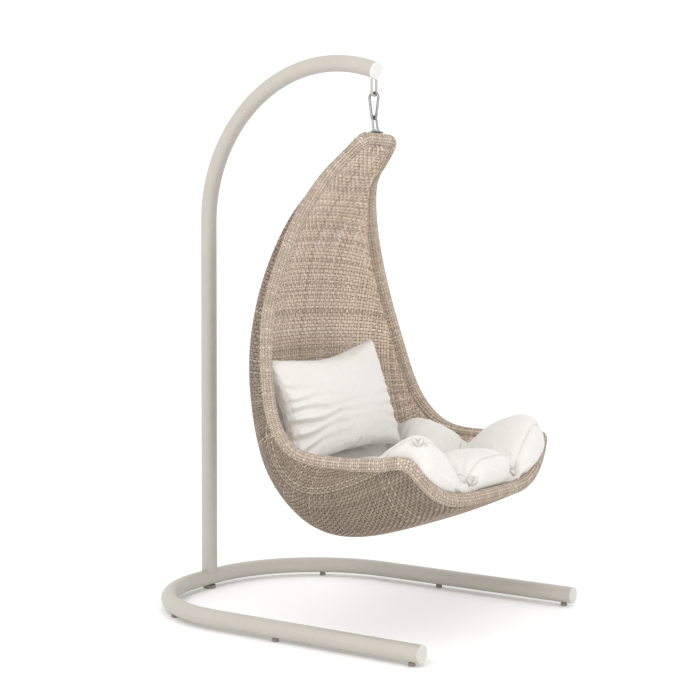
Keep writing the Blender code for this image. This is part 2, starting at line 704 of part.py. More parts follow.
# ---------------------------------------------------------------- shell frame and weave
def build_frame(aluminium):
    tube = pipe(RIM_POINTS, RIM_INWARD, RIM_TUBE, RIM_TUBE - 0.002, 8, closed=True)
    rim = make_object("rim_tube", *tube, aluminium)
    boolean(rim, leg_holes)

    first = (RIM_TUBE - 0.004) / shell_slopes(0, 0)[0].length
    final = LAST - (RIM_TUBE - 0.004) / shell_slopes(LAST, 0)[0].length
    path = [shell_point(first + (final - first) * k / 22, 0) for k in range(23)]
    spine = pipe(path, [Vector((1, 0, 0))] * len(path), SPINE_TUBE, SPINE_TUBE - 0.0015, 8)
    spine = make_object("spine_tube", *spine, aluminium)
    boolean(spine, tube_clearance)

    for word, v in RIBS:
        limit = phi_clear(v, RIM_TUBE - 0.004)
        inner = (SPINE_TUBE + 0.0008) / station(v)[0]
        for side, sign in (("left", 1), ("right", -1)):
            path = []
            for k in range(9):
                t = k / 8
                path.append(shell_point(v, sign * (limit + (inner - limit) * t)))
            normals = carried_normals(path, shell_slopes(v, 0)[0])
            rib = make_object(f"rib_{word}_{side}", *rod(path, normals, RIB_ROD, 6), aluminium)
            boolean(rib, tube_clearance)


def build_weave(weave):
    opening = math.radians(60.0)
    count = 8
    half_step = (math.pi - opening) / count
    angles = [opening + (math.tau - 2 * opening) * k / count for k in range(count + 1)]
    inner, outer = (RIM_TUBE + 2 * GAP) / math.cos(half_step), RIM_WRAP
    profile = [(outer * math.cos(a), outer * math.sin(a)) for a in angles]
    profile += [(inner * math.cos(a), inner * math.sin(a)) for a in reversed(angles)]
    wrap = make_object("rim_wrap", *sweep(RIM_POINTS, RIM_INWARD, profile, closed=True), weave)
    boolean(wrap, leg_holes)
    boolean(wrap, nut_clearance)
    for name, middle in (("outer_skin", SKIN_OFFSET), ("inner_skin", -SKIN_OFFSET)):
        rows = skin_grid(middle)
        faces = []
        for offset in (middle + SKIN_THICK / 2, middle - SKIN_THICK / 2):
            faces.append([tuple(shell_offset(v, phi, offset)) for v, line in rows for phi in line])
        make_object(name, *close_grids(*faces, len(rows), SKIN_COLUMNS), weave)


# ---------------------------------------------------------------- soft pieces
def pad_thickness(v, phi):
    """Thickness of the seat cushion: a padded bowl with a raised lobe at each front corner."""
    base = 0.088
    corner_phi = math.radians(60.0)
    lobe = 0.055 * math.exp(-((abs(phi) - corner_phi) / 0.36) ** 2 - ((v - 11.0) / 0.8) ** 2)
    return base + lobe


def build_seat_cushion(fabric):
    """The pad lies on the inner skin and follows its facets."""
    rows = [(v, line[1:-1]) for v, line in skin_grid(-SKIN_OFFSET) if 8.1 < v < 11.9]
    columns = SKIN_COLUMNS - 2
    first, last = rows[0][0], rows[-1][0]
    start = SKIN_OFFSET + SKIN_THICK / 2 + 2 * GAP
    low, high = [], []
    for v, line in rows:
        t = 2 * (v - first) / (last - first) - 1
        for k, phi in enumerate(line):
            s = 2 * k / (columns - 1) - 1
            fill = math.sqrt(max((1 - s ** 8) * (1 - t ** 8), 0.0))
            low.append(tuple(shell_offset(v, phi, -start)))
            high.append(tuple(shell_offset(v, phi, -start - 0.014 - pad_thickness(v, phi) * fill)))
    make_object("seat_cushion", *close_grids(low, high, len(rows), columns), fabric)


def build_back_pillow(fabric):
    rows = columns = 11
    half_width, half_height, half_thick = 0.310, 0.190, 0.078
    place = Matrix.Translation((0.010, 0.034, 0.800)) @ Matrix.Rotation(math.radians(-17), 4, "X")
    front, back = [], []
    for i in range(rows):
        for k in range(columns):
            s, t = 2 * k / (columns - 1) - 1, 2 * i / (rows - 1) - 1
            pull = 1 - 0.10 * (1 - s * s) * t * t * 0.5 - 0.10 * (1 - t * t) * s * s * 0.5
            bulge = 0.006 + half_thick * ((1 - s * s) * (1 - t * t)) ** 0.42
            x, z = half_width * s * pull, half_height * t * pull
            front.append(tuple(place @ Vector((x, -bulge, z))))
            back.append(tuple(place @ Vector((x, bulge, z))))
    make_object("back_pillow", *close_grids(front, back, rows, columns), fabric)


# ---------------------------------------------------------------- build
for old in list(bpy.data.objects):
    bpy.data.objects.remove(old, do_unlink=True)

CUTTER_MATERIAL = material("cutter", (0.8, 0.1, 0.1), 0.5)
RIM_POINTS, RIM_INWARD = rim_path()
tube_clearance = make_cutter("tube_clearance", *sweep(RIM_POINTS, RIM_INWARD,
                                                      circle(RIM_TUBE + 1.6 * GAP, 8),
                                                      closed=True))
nut_clearance = make_cutter("nut_clearance", *merge(*[cylinder(0.0092, on_leg(sign, 0.002),
                                                               on_leg(sign, 0.034), 14)
                                                      for sign in (1, -1)]))
leg_holes = make_cutter("leg_holes", *merge(*[cylinder(BOLT_HOLE, on_leg(sign, -0.045),
                                                       on_leg(sign, 0.045), 12)
                                              for sign in (1, -1)]))


def build_all():
    powder_coat = material("powder_coat", (0.62, 0.58, 0.50), 0.35)
    white_paint = material("white_paint", (0.80, 0.80, 0.76), 0.35)
    cap_plastic = material("cap_plastic", (0.78, 0.77, 0.72), 0.45)
    foot_rubber = material("foot_rubber", (0.24, 0.22, 0.19), 0.8)
    zinc = material("zinc_steel", (0.45, 0.46, 0.48), 0.35, 1.0)
    stainless = material("stainless_steel", (0.62, 0.63, 0.64), 0.22, 1.0)
    aluminium = material("frame_aluminium", (0.55, 0.54, 0.52), 0.45, 1.0)
    weave = material("woven_rattan", (0.46, 0.38, 0.30), 0.6)
    fabric = material("cushion_fabric", (0.80, 0.77, 0.71), 0.9)
    build_base(powder_coat, cap_plastic, foot_rubber, zinc)
    build_mast(powder_coat, white_paint, zinc)
    build_hook(zinc, stainless)
    build_hanger(stainless, zinc)
    build_frame(aluminium)
    build_weave(weave)
    build_seat_cushion(fabric)
    build_back_pillow(fabric)


build_all()
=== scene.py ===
"""Looks of the hanging egg chair: woven shell, soft pieces, smooth tubes, materials, light, camera."""
import json
import math

import bmesh
import bpy
import numpy as np
from mathutils import Matrix, Vector, noise
from mathutils.bvhtree import BVHTree


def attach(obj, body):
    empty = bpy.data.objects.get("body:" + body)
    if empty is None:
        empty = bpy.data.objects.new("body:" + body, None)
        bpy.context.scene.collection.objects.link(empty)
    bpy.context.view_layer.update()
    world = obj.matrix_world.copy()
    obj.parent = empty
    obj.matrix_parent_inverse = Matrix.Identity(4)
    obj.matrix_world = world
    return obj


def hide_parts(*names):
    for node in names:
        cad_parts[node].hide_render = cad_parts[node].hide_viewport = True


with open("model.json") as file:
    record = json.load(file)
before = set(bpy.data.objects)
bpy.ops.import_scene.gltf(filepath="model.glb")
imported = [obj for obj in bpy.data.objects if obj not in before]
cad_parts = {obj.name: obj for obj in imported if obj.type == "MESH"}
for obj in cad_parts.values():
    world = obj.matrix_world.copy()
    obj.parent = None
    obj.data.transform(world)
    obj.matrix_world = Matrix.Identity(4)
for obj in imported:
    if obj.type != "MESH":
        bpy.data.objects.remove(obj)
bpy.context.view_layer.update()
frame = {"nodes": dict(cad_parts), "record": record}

NODES = frame["nodes"]

# ---------------------------------------------------------------- dimensions, as in the CAD
TUBE_RADIUS, TUBE_WALL, TUBE_SIDES, BASE_HEIGHT = 0.030, 0.002, 48, 0.042
ARM_X, ARM_END_Y, BEND_RADIUS = 0.5245, -0.6630, 0.465
MAST_Y, MAST_ARC_Z, MAST_ARC_RADIUS, MAST_ARC_DEG = 0.637, 1.417, 0.565, 110.7
HANG_Y, LUG_Z, LUG_ROD, LUG_HALF_WIDTH = -0.1235, 1.857, 0.0045, 0.015
HOOK_ROD, HOOK_LENGTH, HOOK_TOP_BEND, HOOK_BOTTOM_BEND = 0.005, 0.102, 0.0185, 0.0095
GATE_ROD, GATE_PIVOT_UP, GATE_LENGTH = 0.0045, 0.0155, 0.0550
BOLT_ROD, BOLT_HALF_WIDTH, LEG_END, BOLT_LEAN_DEG, CROWN_AT = 0.004, 0.013, 0.0230, 9.6, 0.0833
SKIN_OFFSET = 0.0195            # of each skin from the shell's mid surface
# The shell's cross sections, from the crown, down the back and under the seat to the front lip:
# half width at the rim, the rim's y and z, then the y and z of the middle of the section. The rows
# are the CAD's; all but the first are rounded results of a curve fit, not chosen by hand.
STATIONS = np.array([
    (0.092, -0.142, 1.700, -0.137, 1.702), (0.119, -0.076, 1.628, -0.064, 1.635),
    (0.152, -0.012, 1.552, 0.008, 1.546), (0.230, 0.039, 1.411, 0.089, 1.441),
    (0.303, 0.059, 1.259, 0.156, 1.304), (0.372, 0.060, 1.104, 0.188, 1.137),
    (0.419, 0.035, 0.943, 0.212, 0.963), (0.449, -0.001, 0.803, 0.195, 0.780),
    (0.473, -0.055, 0.701, 0.153, 0.591), (0.491, -0.144, 0.633, 0.096, 0.445),
    (0.501, -0.271, 0.615, -0.048, 0.325), (0.502, -0.408, 0.617, -0.308, 0.358),
    (0.475, -0.543, 0.624, -0.613, 0.480)])
LAST = len(STATIONS) - 1
CORNER_TOP_V, CROWN_PHI = 0.28, math.radians(47.7)
CORNER_FRONT_V, FRONT_PHI = 11.45, math.radians(70.0)
RIB_PLACES = (2.1, 3.6, 5.3, 7.6, 9.9)

PITCH = 0.0138                  # of the weave's pairs
STRAND_HALF, STRAND_THICK, SWING = 0.00225, 0.0009, 0.0018
PAIR = 0.00245                  # a strand's middle from its pair's middle
RIM_RADIUS, RIM_SWING = 0.0207, 0.0011          # of the weave round the rim, and its over and under
RIM_LENGTHS, WINDING_PITCH = 12, 0.0072         # strands along the rim, and its windings' spacing
DOWN = Vector((0, 0, -1))


# ---------------------------------------------------------------- materials
def surface(name, colour, spread=0.10, scale=30.0, rough=(0.4, 0.55), metallic=0.0,
            bump=0.0, bump_scale=600.0, stretch=(1, 1, 1), sheen=0.0, weave=0.0):
    """Two scales of noise in the colour, a varied roughness and a fine relief."""
    mat = bpy.data.materials.new(name)
    mat.use_nodes = True
    nodes, links = mat.node_tree.nodes, mat.node_tree.links
    shader = nodes["Principled BSDF"].inputs

    def add(kind, inputs, output, **settings):
        """A new node's output; its inputs are values or other nodes' outputs."""
        node = nodes.new("ShaderNode" + kind)
        for setting, value in settings.items():
            setattr(node, setting, value)
        for socket, value in inputs.items():
            if isinstance(value, bpy.types.NodeSocket):
                links.new(value, node.inputs[socket])
            else:
                node.inputs[socket].default_value = value
        return node.outputs[output]

    def noise_of(size, detail):
        return add("TexNoise", {"Vector": mapped, "Scale": size, "Detail": detail}, "Fac")

    place = add("TexCoord", {}, "Object")
    mapped = add("Mapping", {"Vector": place, "Scale": stretch}, "Vector")
    wide, fine = noise_of(scale, 3.0), noise_of(scale * 9.0, 2.0)
    both = add("Math", {0: wide, 1: fine}, 0, operation="ADD")
    share = add("MapRange", {"Value": both, "From Min": 0.65, "From Max": 1.35}, "Result")
    dark = (*[c * (1 - spread) for c in colour], 1)
    light = (*[min(c * (1 + spread), 1) for c in colour], 1)
    mixed = add("Mix", {0: share, 6: dark, 7: light}, 2, data_type="RGBA")
    if weave:
        threads = [add("TexWave", {"Vector": place, "Scale": weave, "Distortion": 0.6}, "Fac",
                       bands_direction=axis) for axis in ("X", "Y")]
        cross = add("Math", {0: threads[0], 1: threads[1]}, 0, operation="MULTIPLY")
        mixed = add("Mix", {0: cross, 6: mixed, 7: (0.90, 0.89, 0.87, 1)}, 2, data_type="RGBA",
                    blend_type="MULTIPLY")
    links.new(mixed, shader["Base Color"])
    rougher = add("MapRange", {"Value": fine, "To Min": rough[0], "To Max": rough[1]}, "Result")
    links.new(rougher, shader["Roughness"])
    shader["Metallic"].default_value = metallic
    if sheen:
        shader["Sheen Weight"].default_value = sheen
        shader["Sheen Roughness"].default_value = 0.6
    if bump:
        relief = {"Height": noise_of(bump_scale, 2.0), "Strength": 0.5, "Distance": bump}
        links.new(add("Bump", relief, "Normal"), shader["Normal"])
    return mat


POWDER = surface("powder_coat", (0.46, 0.43, 0.385), 0.03, 6, (0.34, 0.44), bump=0.0002, bump_scale=900)
WHITE = surface("white_paint", (0.70, 0.69, 0.66), 0.03, 12, (0.3, 0.42), bump=0.0002, bump_scale=900)
ROD = surface("rod_paint", (0.40, 0.39, 0.36), 0.05, 40, (0.25, 0.4), bump=0.0002, bump_scale=700)
PLASTIC = surface("cap_plastic", (0.56, 0.54, 0.49), 0.04, 20, (0.4, 0.55), bump=0.0001)
RUBBER = surface("foot_rubber", (0.24, 0.21, 0.18), 0.15, 60, (0.65, 0.85), bump=0.0003)
ZINC = surface("zinc_steel", (0.25, 0.25, 0.255), 0.06, 80, (0.30, 0.38), 1.0, bump=0.00002)
STAINLESS = surface("stainless_steel", (0.29, 0.29, 0.295), 0.04, 18, (0.24, 0.28), 1.0,
                    stretch=(1, 1, 0.2))
ALUMINIUM = surface("frame_aluminium", (0.34, 0.32, 0.29), 0.10, 40, (0.4, 0.6), 0.6)


def strand_tones(prefix, colours, spread=0.20):
    return [surface(f"{prefix}_{i}", c, spread, 70, (0.45, 0.66)) for i, c in enumerate(colours)]


# Both skins are one rattan: the outer strands are painted darker, as painted shade on the shell's
# outside, and the inner strands lighter, as painted light inside the bowl.
OUTER_SHADED_TONES = strand_tones("outer_strand_painted_shade", [(0.25, 0.192, 0.144), (0.345, 0.268, 0.204),
                                            (0.58, 0.485, 0.385)])
INNER_LIT_TONES = strand_tones("inner_strand_painted_light", [(0.52, 0.412, 0.318), (0.74, 0.61, 0.492),
                                            (0.84, 0.73, 0.61)])
RIM_TONES = strand_tones("rim_strand", [(0.42, 0.335, 0.26), (0.50, 0.41, 0.325),
                                        (0.60, 0.51, 0.415)])
FABRIC = surface("cushion_fabric", (0.665, 0.645, 0.617), 0.035, 7, (0.85, 0.95), bump=0.0006,
                 bump_scale=260, sheen=0.25, weave=260)
PIPING = surface("cushion_piping", (0.60, 0.575, 0.54), 0.06, 30, (0.85, 0.95), bump=0.0004,
                 bump_scale=420, sheen=0.2, weave=340)


# ---------------------------------------------------------------- meshes
def linked(name, data):
    obj = bpy.data.objects.new(name, data)
    bpy.context.scene.collection.objects.link(obj)
    return obj


def quad_object(name, verts, quads, mats, tones=None):
    """An object from arrays of points and four-sided faces."""
    mesh = bpy.data.meshes.new(name)
    mesh.vertices.add(len(verts))
    mesh.vertices.foreach_set("co", np.ascontiguousarray(verts, np.float32).ravel())
    mesh.loops.add(quads.size)
    mesh.loops.foreach_set("vertex_index", np.ascontiguousarray(quads, np.int32).ravel())
    mesh.polygons.add(len(quads))
    mesh.polygons.foreach_set("loop_start", np.arange(0, quads.size, 4, dtype=np.int32))
    for mat in mats:
        mesh.materials.append(mat)
    if tones is not None:
        mesh.polygons.foreach_set("material_index", np.ascontiguousarray(tones, np.int32))
    mesh.update(calc_edges=True)
    mesh.shade_smooth()
    return linked(name, mesh)


def face_object(name, verts, faces, mat, sharp_deg=40.0):
    mesh = bpy.data.meshes.new(name)
    mesh.from_pydata([tuple(v) for v in verts], [], faces)
    bm = bmesh.new()
    bm.from_mesh(mesh)
    bmesh.ops.remove_doubles(bm, verts=bm.verts, dist=1e-6)
    bmesh.ops.recalc_face_normals(bm, faces=bm.faces)
    bm.to_mesh(mesh)
    bm.free()
    mesh.shade_smooth()
    mesh.set_sharp_from_angle(angle=math.radians(sharp_deg))
    mesh.materials.append(mat)
    return linked(name, mesh)


def finish_piece(obj, body, slot, *nodes):
    """Says which body the object rides on and the CAD nodes it replaces; the slot argument is not used.
    """
    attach(obj, body)
    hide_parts(*nodes)


def unit(a):
    return a / np.maximum(np.linalg.norm(a, axis=-1, keepdims=True), 1e-12)


def distances(points):
    """Distance along a line at each of its points."""
    return np.concatenate([[0], np.cumsum(np.linalg.norm(np.diff(points, axis=0), axis=1))])


def rings_along(path, first_normal, profile):
    """Rings of a profile of (normal, side) offsets along a path, without twist."""
    path = np.asarray([tuple(p) for p in path], float)
    ahead = unit(np.gradient(path, axis=0))
    normal = np.asarray(first_normal, float)
    rings = []
    for point, direction in zip(path, ahead):
        normal = unit(normal - direction * normal.dot(direction))
        side = np.cross(direction, normal)
        rings.append([point + normal * a + side * b for a, b in profile])
    return np.array(rings)


def circle(radius, sides):
    angles = [math.tau * k / sides for k in range(sides)]
    return [(radius * math.cos(a), radius * math.sin(a)) for a in angles]


def ring_faces(rings, sides, start=0, flip=False):
    faces = []
    for i in range(rings - 1):
        for k in range(sides):
            m = (k + 1) % sides
            face = (start + i * sides + k, start + i * sides + m,
                    start + (i + 1) * sides + m, start + (i + 1) * sides + k)
            faces.append(face[::-1] if flip else face)
    return faces


def pipe_shape(outer, inner):
    """A hollow tube from two stacks of rings."""
    count, sides = outer.shape[:2]
    verts = np.concatenate([outer.reshape(-1, 3), inner.reshape(-1, 3)])
    faces = ring_faces(count, sides) + ring_faces(count, sides, count * sides, True)
    for ring in (0, (count - 1) * sides):
        for k in range(sides):
            m = (k + 1) % sides
            faces.append((ring + k, ring + m, count * sides + ring + m, count * sides + ring + k))
    return verts, faces


def rod_shape(path, first_normal, radius, sides, round_ends=True):
    """A round bar whose ends are slightly domed."""
    rings = rings_along(path, first_normal, circle(radius, sides))
    if round_ends:
        first, last = rings[0], rings[-1]
        back = unit(first.mean(0) - rings[1].mean(0)) * radius * 0.3
        on = unit(last.mean(0) - rings[-2].mean(0)) * radius * 0.3
        near = first.mean(0) + (first - first.mean(0)) * 0.72 + back
        far = last.mean(0) + (last - last.mean(0)) * 0.72 + on
        rings = np.concatenate([near[None], rings, far[None]])
    count = len(rings)
    faces = ring_faces(count, sides)
    faces += [tuple(reversed(range(sides))), tuple(range((count - 1) * sides, count * sides))]
    return rings.reshape(-1, 3), faces


def turned(profile, sides, centre, axis):
    """A solid of revolution from (radius, height) points; radius 0 closes an end."""
    axis = Vector(axis).normalized()
    turn = axis.to_track_quat("Z", "Y").to_matrix()
    centre = Vector(centre)
    verts, faces, rings = [], [], []
    for radius, height in profile:
        if radius == 0.0:
            rings.append([len(verts)] * sides)
            verts.append(centre + axis * height)
            continue
        rings.append([len(verts) + k for k in range(sides)])
        verts += [centre + turn @ Vector((x, y, height)) for x, y in circle(radius, sides)]
    for low, high in zip(rings[:-1], rings[1:]):
        for k in range(sides):
            m = (k + 1) % sides
            face = tuple(dict.fromkeys((low[k], low[m], high[m], high[k])))
            if len(face) > 2:
                faces.append(face)
    return verts, faces


def arc_points(centre, radius, first_deg, last_deg, count, across, up):
    centre, across, up = Vector(centre), Vector(across), Vector(up)
    angles = [math.radians(first_deg + (last_deg - first_deg) * k / (count - 1))
              for k in range(count)]
    return [centre + radius * (across * math.cos(a) + up * math.sin(a)) for a in angles]


def straight(start, end, count):
    """Points from start up to, but without, end."""
    start, end = Vector(start), Vector(end)
    return [start.lerp(end, k / count) for k in range(count)]


# ---------------------------------------------------------------- stand
def build_stand():
    side = straight((ARM_X, ARM_END_Y, BASE_HEIGHT), (ARM_X, MAST_Y - BEND_RADIUS, BASE_HEIGHT), 24)
    side += arc_points((ARM_X - BEND_RADIUS, MAST_Y - BEND_RADIUS, BASE_HEIGHT), BEND_RADIUS,
                       0, 90, 40, (1, 0, 0), (0, 1, 0))
    path = side + [Vector((-p.x, p.y, p.z)) for p in reversed(side)]
    outer = rings_along(path, (0, 0, 1), circle(TUBE_RADIUS, TUBE_SIDES))
    inner = rings_along(path, (0, 0, 1), circle(TUBE_RADIUS - TUBE_WALL, TUBE_SIDES))
    base = face_object("base_frame", *pipe_shape(outer, inner), POWDER, 60)
    finish_piece(base, "stand", "powder_coat", "base_tube")

    for side_name, x in (("left", ARM_X), ("right", -ARM_X)):
        plug = TUBE_RADIUS - TUBE_WALL - 0.0003
        profile = [(0.0, -0.018), (plug - 0.001, -0.018), (plug, -0.016), (plug, 0.0003),
                   (TUBE_RADIUS - 0.0002, 0.0003), (TUBE_RADIUS, 0.0008), (TUBE_RADIUS, 0.0022),
                   (TUBE_RADIUS - 0.0005, 0.0032), (TUBE_RADIUS - 0.0018, 0.0038),
                   (TUBE_RADIUS - 0.006, 0.0040), (0.0, 0.0040)]
        cap = face_object(f"end_cap_{side_name}",
                          *turned(profile, TUBE_SIDES, (x, ARM_END_Y, BASE_HEIGHT), (0, -1, 0)),
                          PLASTIC)
        finish_piece(cap, "stand", "cap_plastic", f"base_end_cap_{side_name}")

    tip_angle = math.radians(MAST_ARC_DEG)
    path = straight((0, MAST_Y, 0.10), (0, MAST_Y, MAST_ARC_Z), 30)
    path += arc_points((0, MAST_Y - MAST_ARC_RADIUS, MAST_ARC_Z), MAST_ARC_RADIUS, 0,
                       MAST_ARC_DEG, 72, (0, 1, 0), (0, 0, 1))
    stacks = []
    for radius in (TUBE_RADIUS, TUBE_RADIUS - TUBE_WALL):
        rings = rings_along(path, (1, 0, 0), circle(radius, TUBE_SIDES))
        foot = rings[0].copy()
        drop = np.clip(TUBE_RADIUS ** 2 - (foot[:, 1] - MAST_Y) ** 2, 0, None)
        foot[:, 2] = BASE_HEIGHT + np.sqrt(drop) + 0.0004
        stacks.append(np.concatenate([foot[None], rings]))
    mast = face_object("mast_frame", *pipe_shape(*stacks), POWDER, 60)
    finish_piece(mast, "stand", "powder_coat", "mast_tube")

    tip = Vector((0, MAST_Y - MAST_ARC_RADIUS + MAST_ARC_RADIUS * math.cos(tip_angle),
                  MAST_ARC_Z + MAST_ARC_RADIUS * math.sin(tip_angle)))
    ahead = Vector((0, -math.sin(tip_angle), math.cos(tip_angle)))
    radius = TUBE_RADIUS + 0.002
    plate = [(0.0, 0.0003), (radius - 0.0012, 0.0003), (radius - 0.0003, 0.0008),
             (radius, 0.0018), (radius, 0.0064), (radius - 0.0005, 0.0075),
             (radius - 0.0018, 0.0082), (radius - 0.004, 0.0083), (0.0, 0.0083)]
    finish_piece(face_object("mast_plate", *turned(plate, 64, tip, ahead), WHITE),
                 "stand", "white_paint", "mast_end_plate")

    bend, top = 0.011, tip.z - TUBE_RADIUS - 0.001
    path = straight((LUG_HALF_WIDTH, HANG_Y, top), (LUG_HALF_WIDTH, HANG_Y, LUG_Z + bend), 4)
    path += arc_points((LUG_HALF_WIDTH - bend, HANG_Y, LUG_Z + bend), bend, 0, -90, 12,
                       (1, 0, 0), (0, 0, 1))
    path += arc_points((bend - LUG_HALF_WIDTH, HANG_Y, LUG_Z + bend), bend, -90, -180, 12,
                       (1, 0, 0), (0, 0, 1))
    path += straight((-LUG_HALF_WIDTH, HANG_Y, top), (-LUG_HALF_WIDTH, HANG_Y, LUG_Z + bend), 4)[::-1]
    lug = face_object("lug_rod", *rod_shape(path, (0, 1, 0), LUG_ROD, 20, False), ROD)
    finish_piece(lug, "stand", "white_paint", "hanger_lug")


# ---------------------------------------------------------------- snap hook and U-bolt
HOOK_TOP = LUG_Z + LUG_ROD + HOOK_ROD + 0.0003
HOOK_BOTTOM = HOOK_TOP + 2 * HOOK_ROD - HOOK_LENGTH
BOLT_TOP = HOOK_BOTTOM + HOOK_ROD + BOLT_ROD + 0.0003
LEAN = math.radians(BOLT_LEAN_DEG)
BOLT_DOWN = Vector((0, -math.sin(LEAN), -math.cos(LEAN)))
CROWN_CENTRE = Vector((0, HANG_Y, BOLT_TOP)) + BOLT_DOWN * CROWN_AT


def build_hardware():
    top_z, low_z = HOOK_TOP - HOOK_TOP_BEND, HOOK_BOTTOM + HOOK_BOTTOM_BEND
    slope = math.asin((HOOK_TOP_BEND - HOOK_BOTTOM_BEND) / (top_z - low_z))
    top = Vector((0, HANG_Y - HOOK_TOP_BEND * math.cos(slope),
                  top_z - HOOK_TOP_BEND * math.sin(slope)))
    low = Vector((0, HANG_Y - HOOK_BOTTOM_BEND * math.cos(slope),
                  low_z - HOOK_BOTTOM_BEND * math.sin(slope)))
    ahead = (top - low).normalized()
    pivot = low + ahead * ((HOOK_BOTTOM + GATE_PIVOT_UP - low.z) / ahead.z)
    degrees = math.degrees(slope)
    path = arc_points((0, HANG_Y, top_z), HOOK_TOP_BEND, 180 + degrees, -degrees, 32,
                      (0, 1, 0), (0, 0, 1))
    path += arc_points((0, HANG_Y, low_z), HOOK_BOTTOM_BEND, -degrees, -180 + degrees, 24,
                       (0, 1, 0), (0, 0, 1))
    path.append(pivot - ahead * 0.0058)
    hook = face_object("hook_body", *rod_shape(path, (1, 0, 0), HOOK_ROD, 24), STAINLESS)
    finish_piece(hook, "carabiner", "stainless_steel", "snap_hook")
    tail, steps = 0.0034, 8         # of the gate, behind its pivot
    line = [pivot - ahead * tail + ahead * (GATE_LENGTH + tail) * k / steps
            for k in range(steps + 1)]
    gate = face_object("hook_gate", *rod_shape(line, (1, 0, 0), GATE_ROD, 24), STAINLESS)
    finish_piece(gate, "gate", "stainless_steel", "snap_gate")

    apex = Vector((0, HANG_Y, BOLT_TOP))
    centre = apex + BOLT_DOWN * BOLT_HALF_WIDTH
    ends = [CROWN_CENTRE + BOLT_DOWN * LEG_END + Vector((s * BOLT_HALF_WIDTH, 0, 0))
            for s in (1, -1)]
    path = straight(ends[0], centre + Vector((BOLT_HALF_WIDTH, 0, 0)), 8)
    path += arc_points(centre, BOLT_HALF_WIDTH, 0, 180, 28, (1, 0, 0), -BOLT_DOWN)
    path += [path[-1].lerp(ends[1], k / 8) for k in range(1, 9)]
    bolt = face_object("link_bolt", *rod_shape(path, (0, 1, 0), BOLT_ROD, 24), STAINLESS)
    finish_piece(bolt, "chair", "stainless_steel", "hanger_u_bolt")

    side = Vector((1, 0, 0)).cross(BOLT_DOWN)
    plate_x, plate_y, corner = 0.029, 0.0065, 0.005
    outline = []
    for cx, cy, start in ((plate_x, plate_y, 0), (-plate_x, plate_y, 90),
                          (-plate_x, -plate_y, 180), (plate_x, -plate_y, 270)):
        for k in range(7):
            a = math.radians(start + 15 * k)
            outline.append((cx + corner * math.cos(a), cy + corner * math.sin(a)))
    verts, size = [], len(outline)
    for inset, depth in ((0.0006, -0.0272), (0, -0.0266), (0, -0.0240), (0.0006, -0.0234)):
        for x, along in outline:
            verts.append(CROWN_CENTRE + Vector((x * (1 - inset / (plate_x + corner)), 0, 0))
                         + side * along * (1 - inset / (plate_y + corner)) + BOLT_DOWN * depth)
    faces = ring_faces(4, size) + [tuple(reversed(range(size))), tuple(range(3 * size, 4 * size))]
    plate = face_object("crown_cover", verts, faces, ZINC)
    finish_piece(plate, "chair", "zinc_steel", "crown_plate")


# ---------------------------------------------------------------- the shell's surface
def spline_bends(values):
    matrix, right = np.eye(len(values)), np.zeros_like(values)
    for i in range(1, len(values) - 1):
        matrix[i, i - 1:i + 2] = (1.0, 4.0, 1.0)
        right[i] = 6.0 * (values[i - 1] - 2.0 * values[i] + values[i + 1])
    return np.linalg.solve(matrix, right)


STATION_BENDS = spline_bends(STATIONS)


def smooth_step(t):
    t = np.clip(t, 0.0, 1.0)
    return t * t * (3.0 - 2.0 * t)


def shell(v, phi):
    """Mid surface; phi runs from -90 degrees at one rim to 90 at the other."""
    v, phi = np.broadcast_arrays(np.asarray(v, float), np.asarray(phi, float))
    i = np.clip(v.astype(int), 0, LAST - 1)
    b = (v - i)[..., None]
    a = 1.0 - b
    row = (a * STATIONS[i] + b * STATIONS[i + 1]
           + ((a ** 3 - a) * STATION_BENDS[i] + (b ** 3 - b) * STATION_BENDS[i + 1]) / 6.0)
    half, rim_y, rim_z, mid_y, mid_z = np.moveaxis(row, -1, 0)
    depth = np.cos(phi)
    front = smooth_step((v - 9.0) / 3.0)
    drop = (1.0 - front) * depth + front * smooth_step((depth - 0.24) / 0.73)
    return np.stack([half * np.sin(phi), rim_y + (mid_y - rim_y) * depth,
                     rim_z + (mid_z - rim_z) * drop], -1)


def shell_slopes(v, phi):
    step = 1e-4
    v0, v1 = np.maximum(v - step, 0.0), np.minimum(v + step, LAST)
    along = (shell(v1, phi) - shell(v0, phi)) / (v1 - v0)[..., None]
    across = (shell(v, phi + step) - shell(v, phi - step)) / (2 * step)
    return along, across


def shell_normal(v, phi):
    along, across = shell_slopes(*np.broadcast_arrays(np.asarray(v, float), np.asarray(phi, float)))
    return unit(np.cross(across, along))


def rim_phi(v):
    """The rim's angle at each station: 90 degrees, less round the crown and front corners."""
    v = np.asarray(v, float)
    angle = np.full(v.shape, math.pi / 2)
    for near, border, border_phi in ((CORNER_TOP_V, 0, CROWN_PHI), (CORNER_FRONT_V, LAST, FRONT_PHI)):
        t = np.clip((v - near) / (border - near), 0, 1)
        bent = (1 - np.sqrt(1 - t)) ** 2
        angle = np.where(t > 0, math.pi / 2 - (math.pi / 2 - border_phi) * bent, angle)
    return angle


PHI_GRID = np.linspace(0.0, math.pi / 2, 241)


def arc_rows(v):
    """For each station, the distance from the keel at each angle of PHI_GRID."""
    points = shell(np.asarray(v)[:, None], PHI_GRID[None])
    steps = np.linalg.norm(np.diff(points, axis=1), axis=2)
    return np.concatenate([np.zeros((len(points), 1)), np.cumsum(steps, axis=1)], axis=1)


V_GRID = np.linspace(0, LAST, 961)
KEEL = distances(shell(V_GRID, 0.0))
KEEL_LENGTH = KEEL[-1]


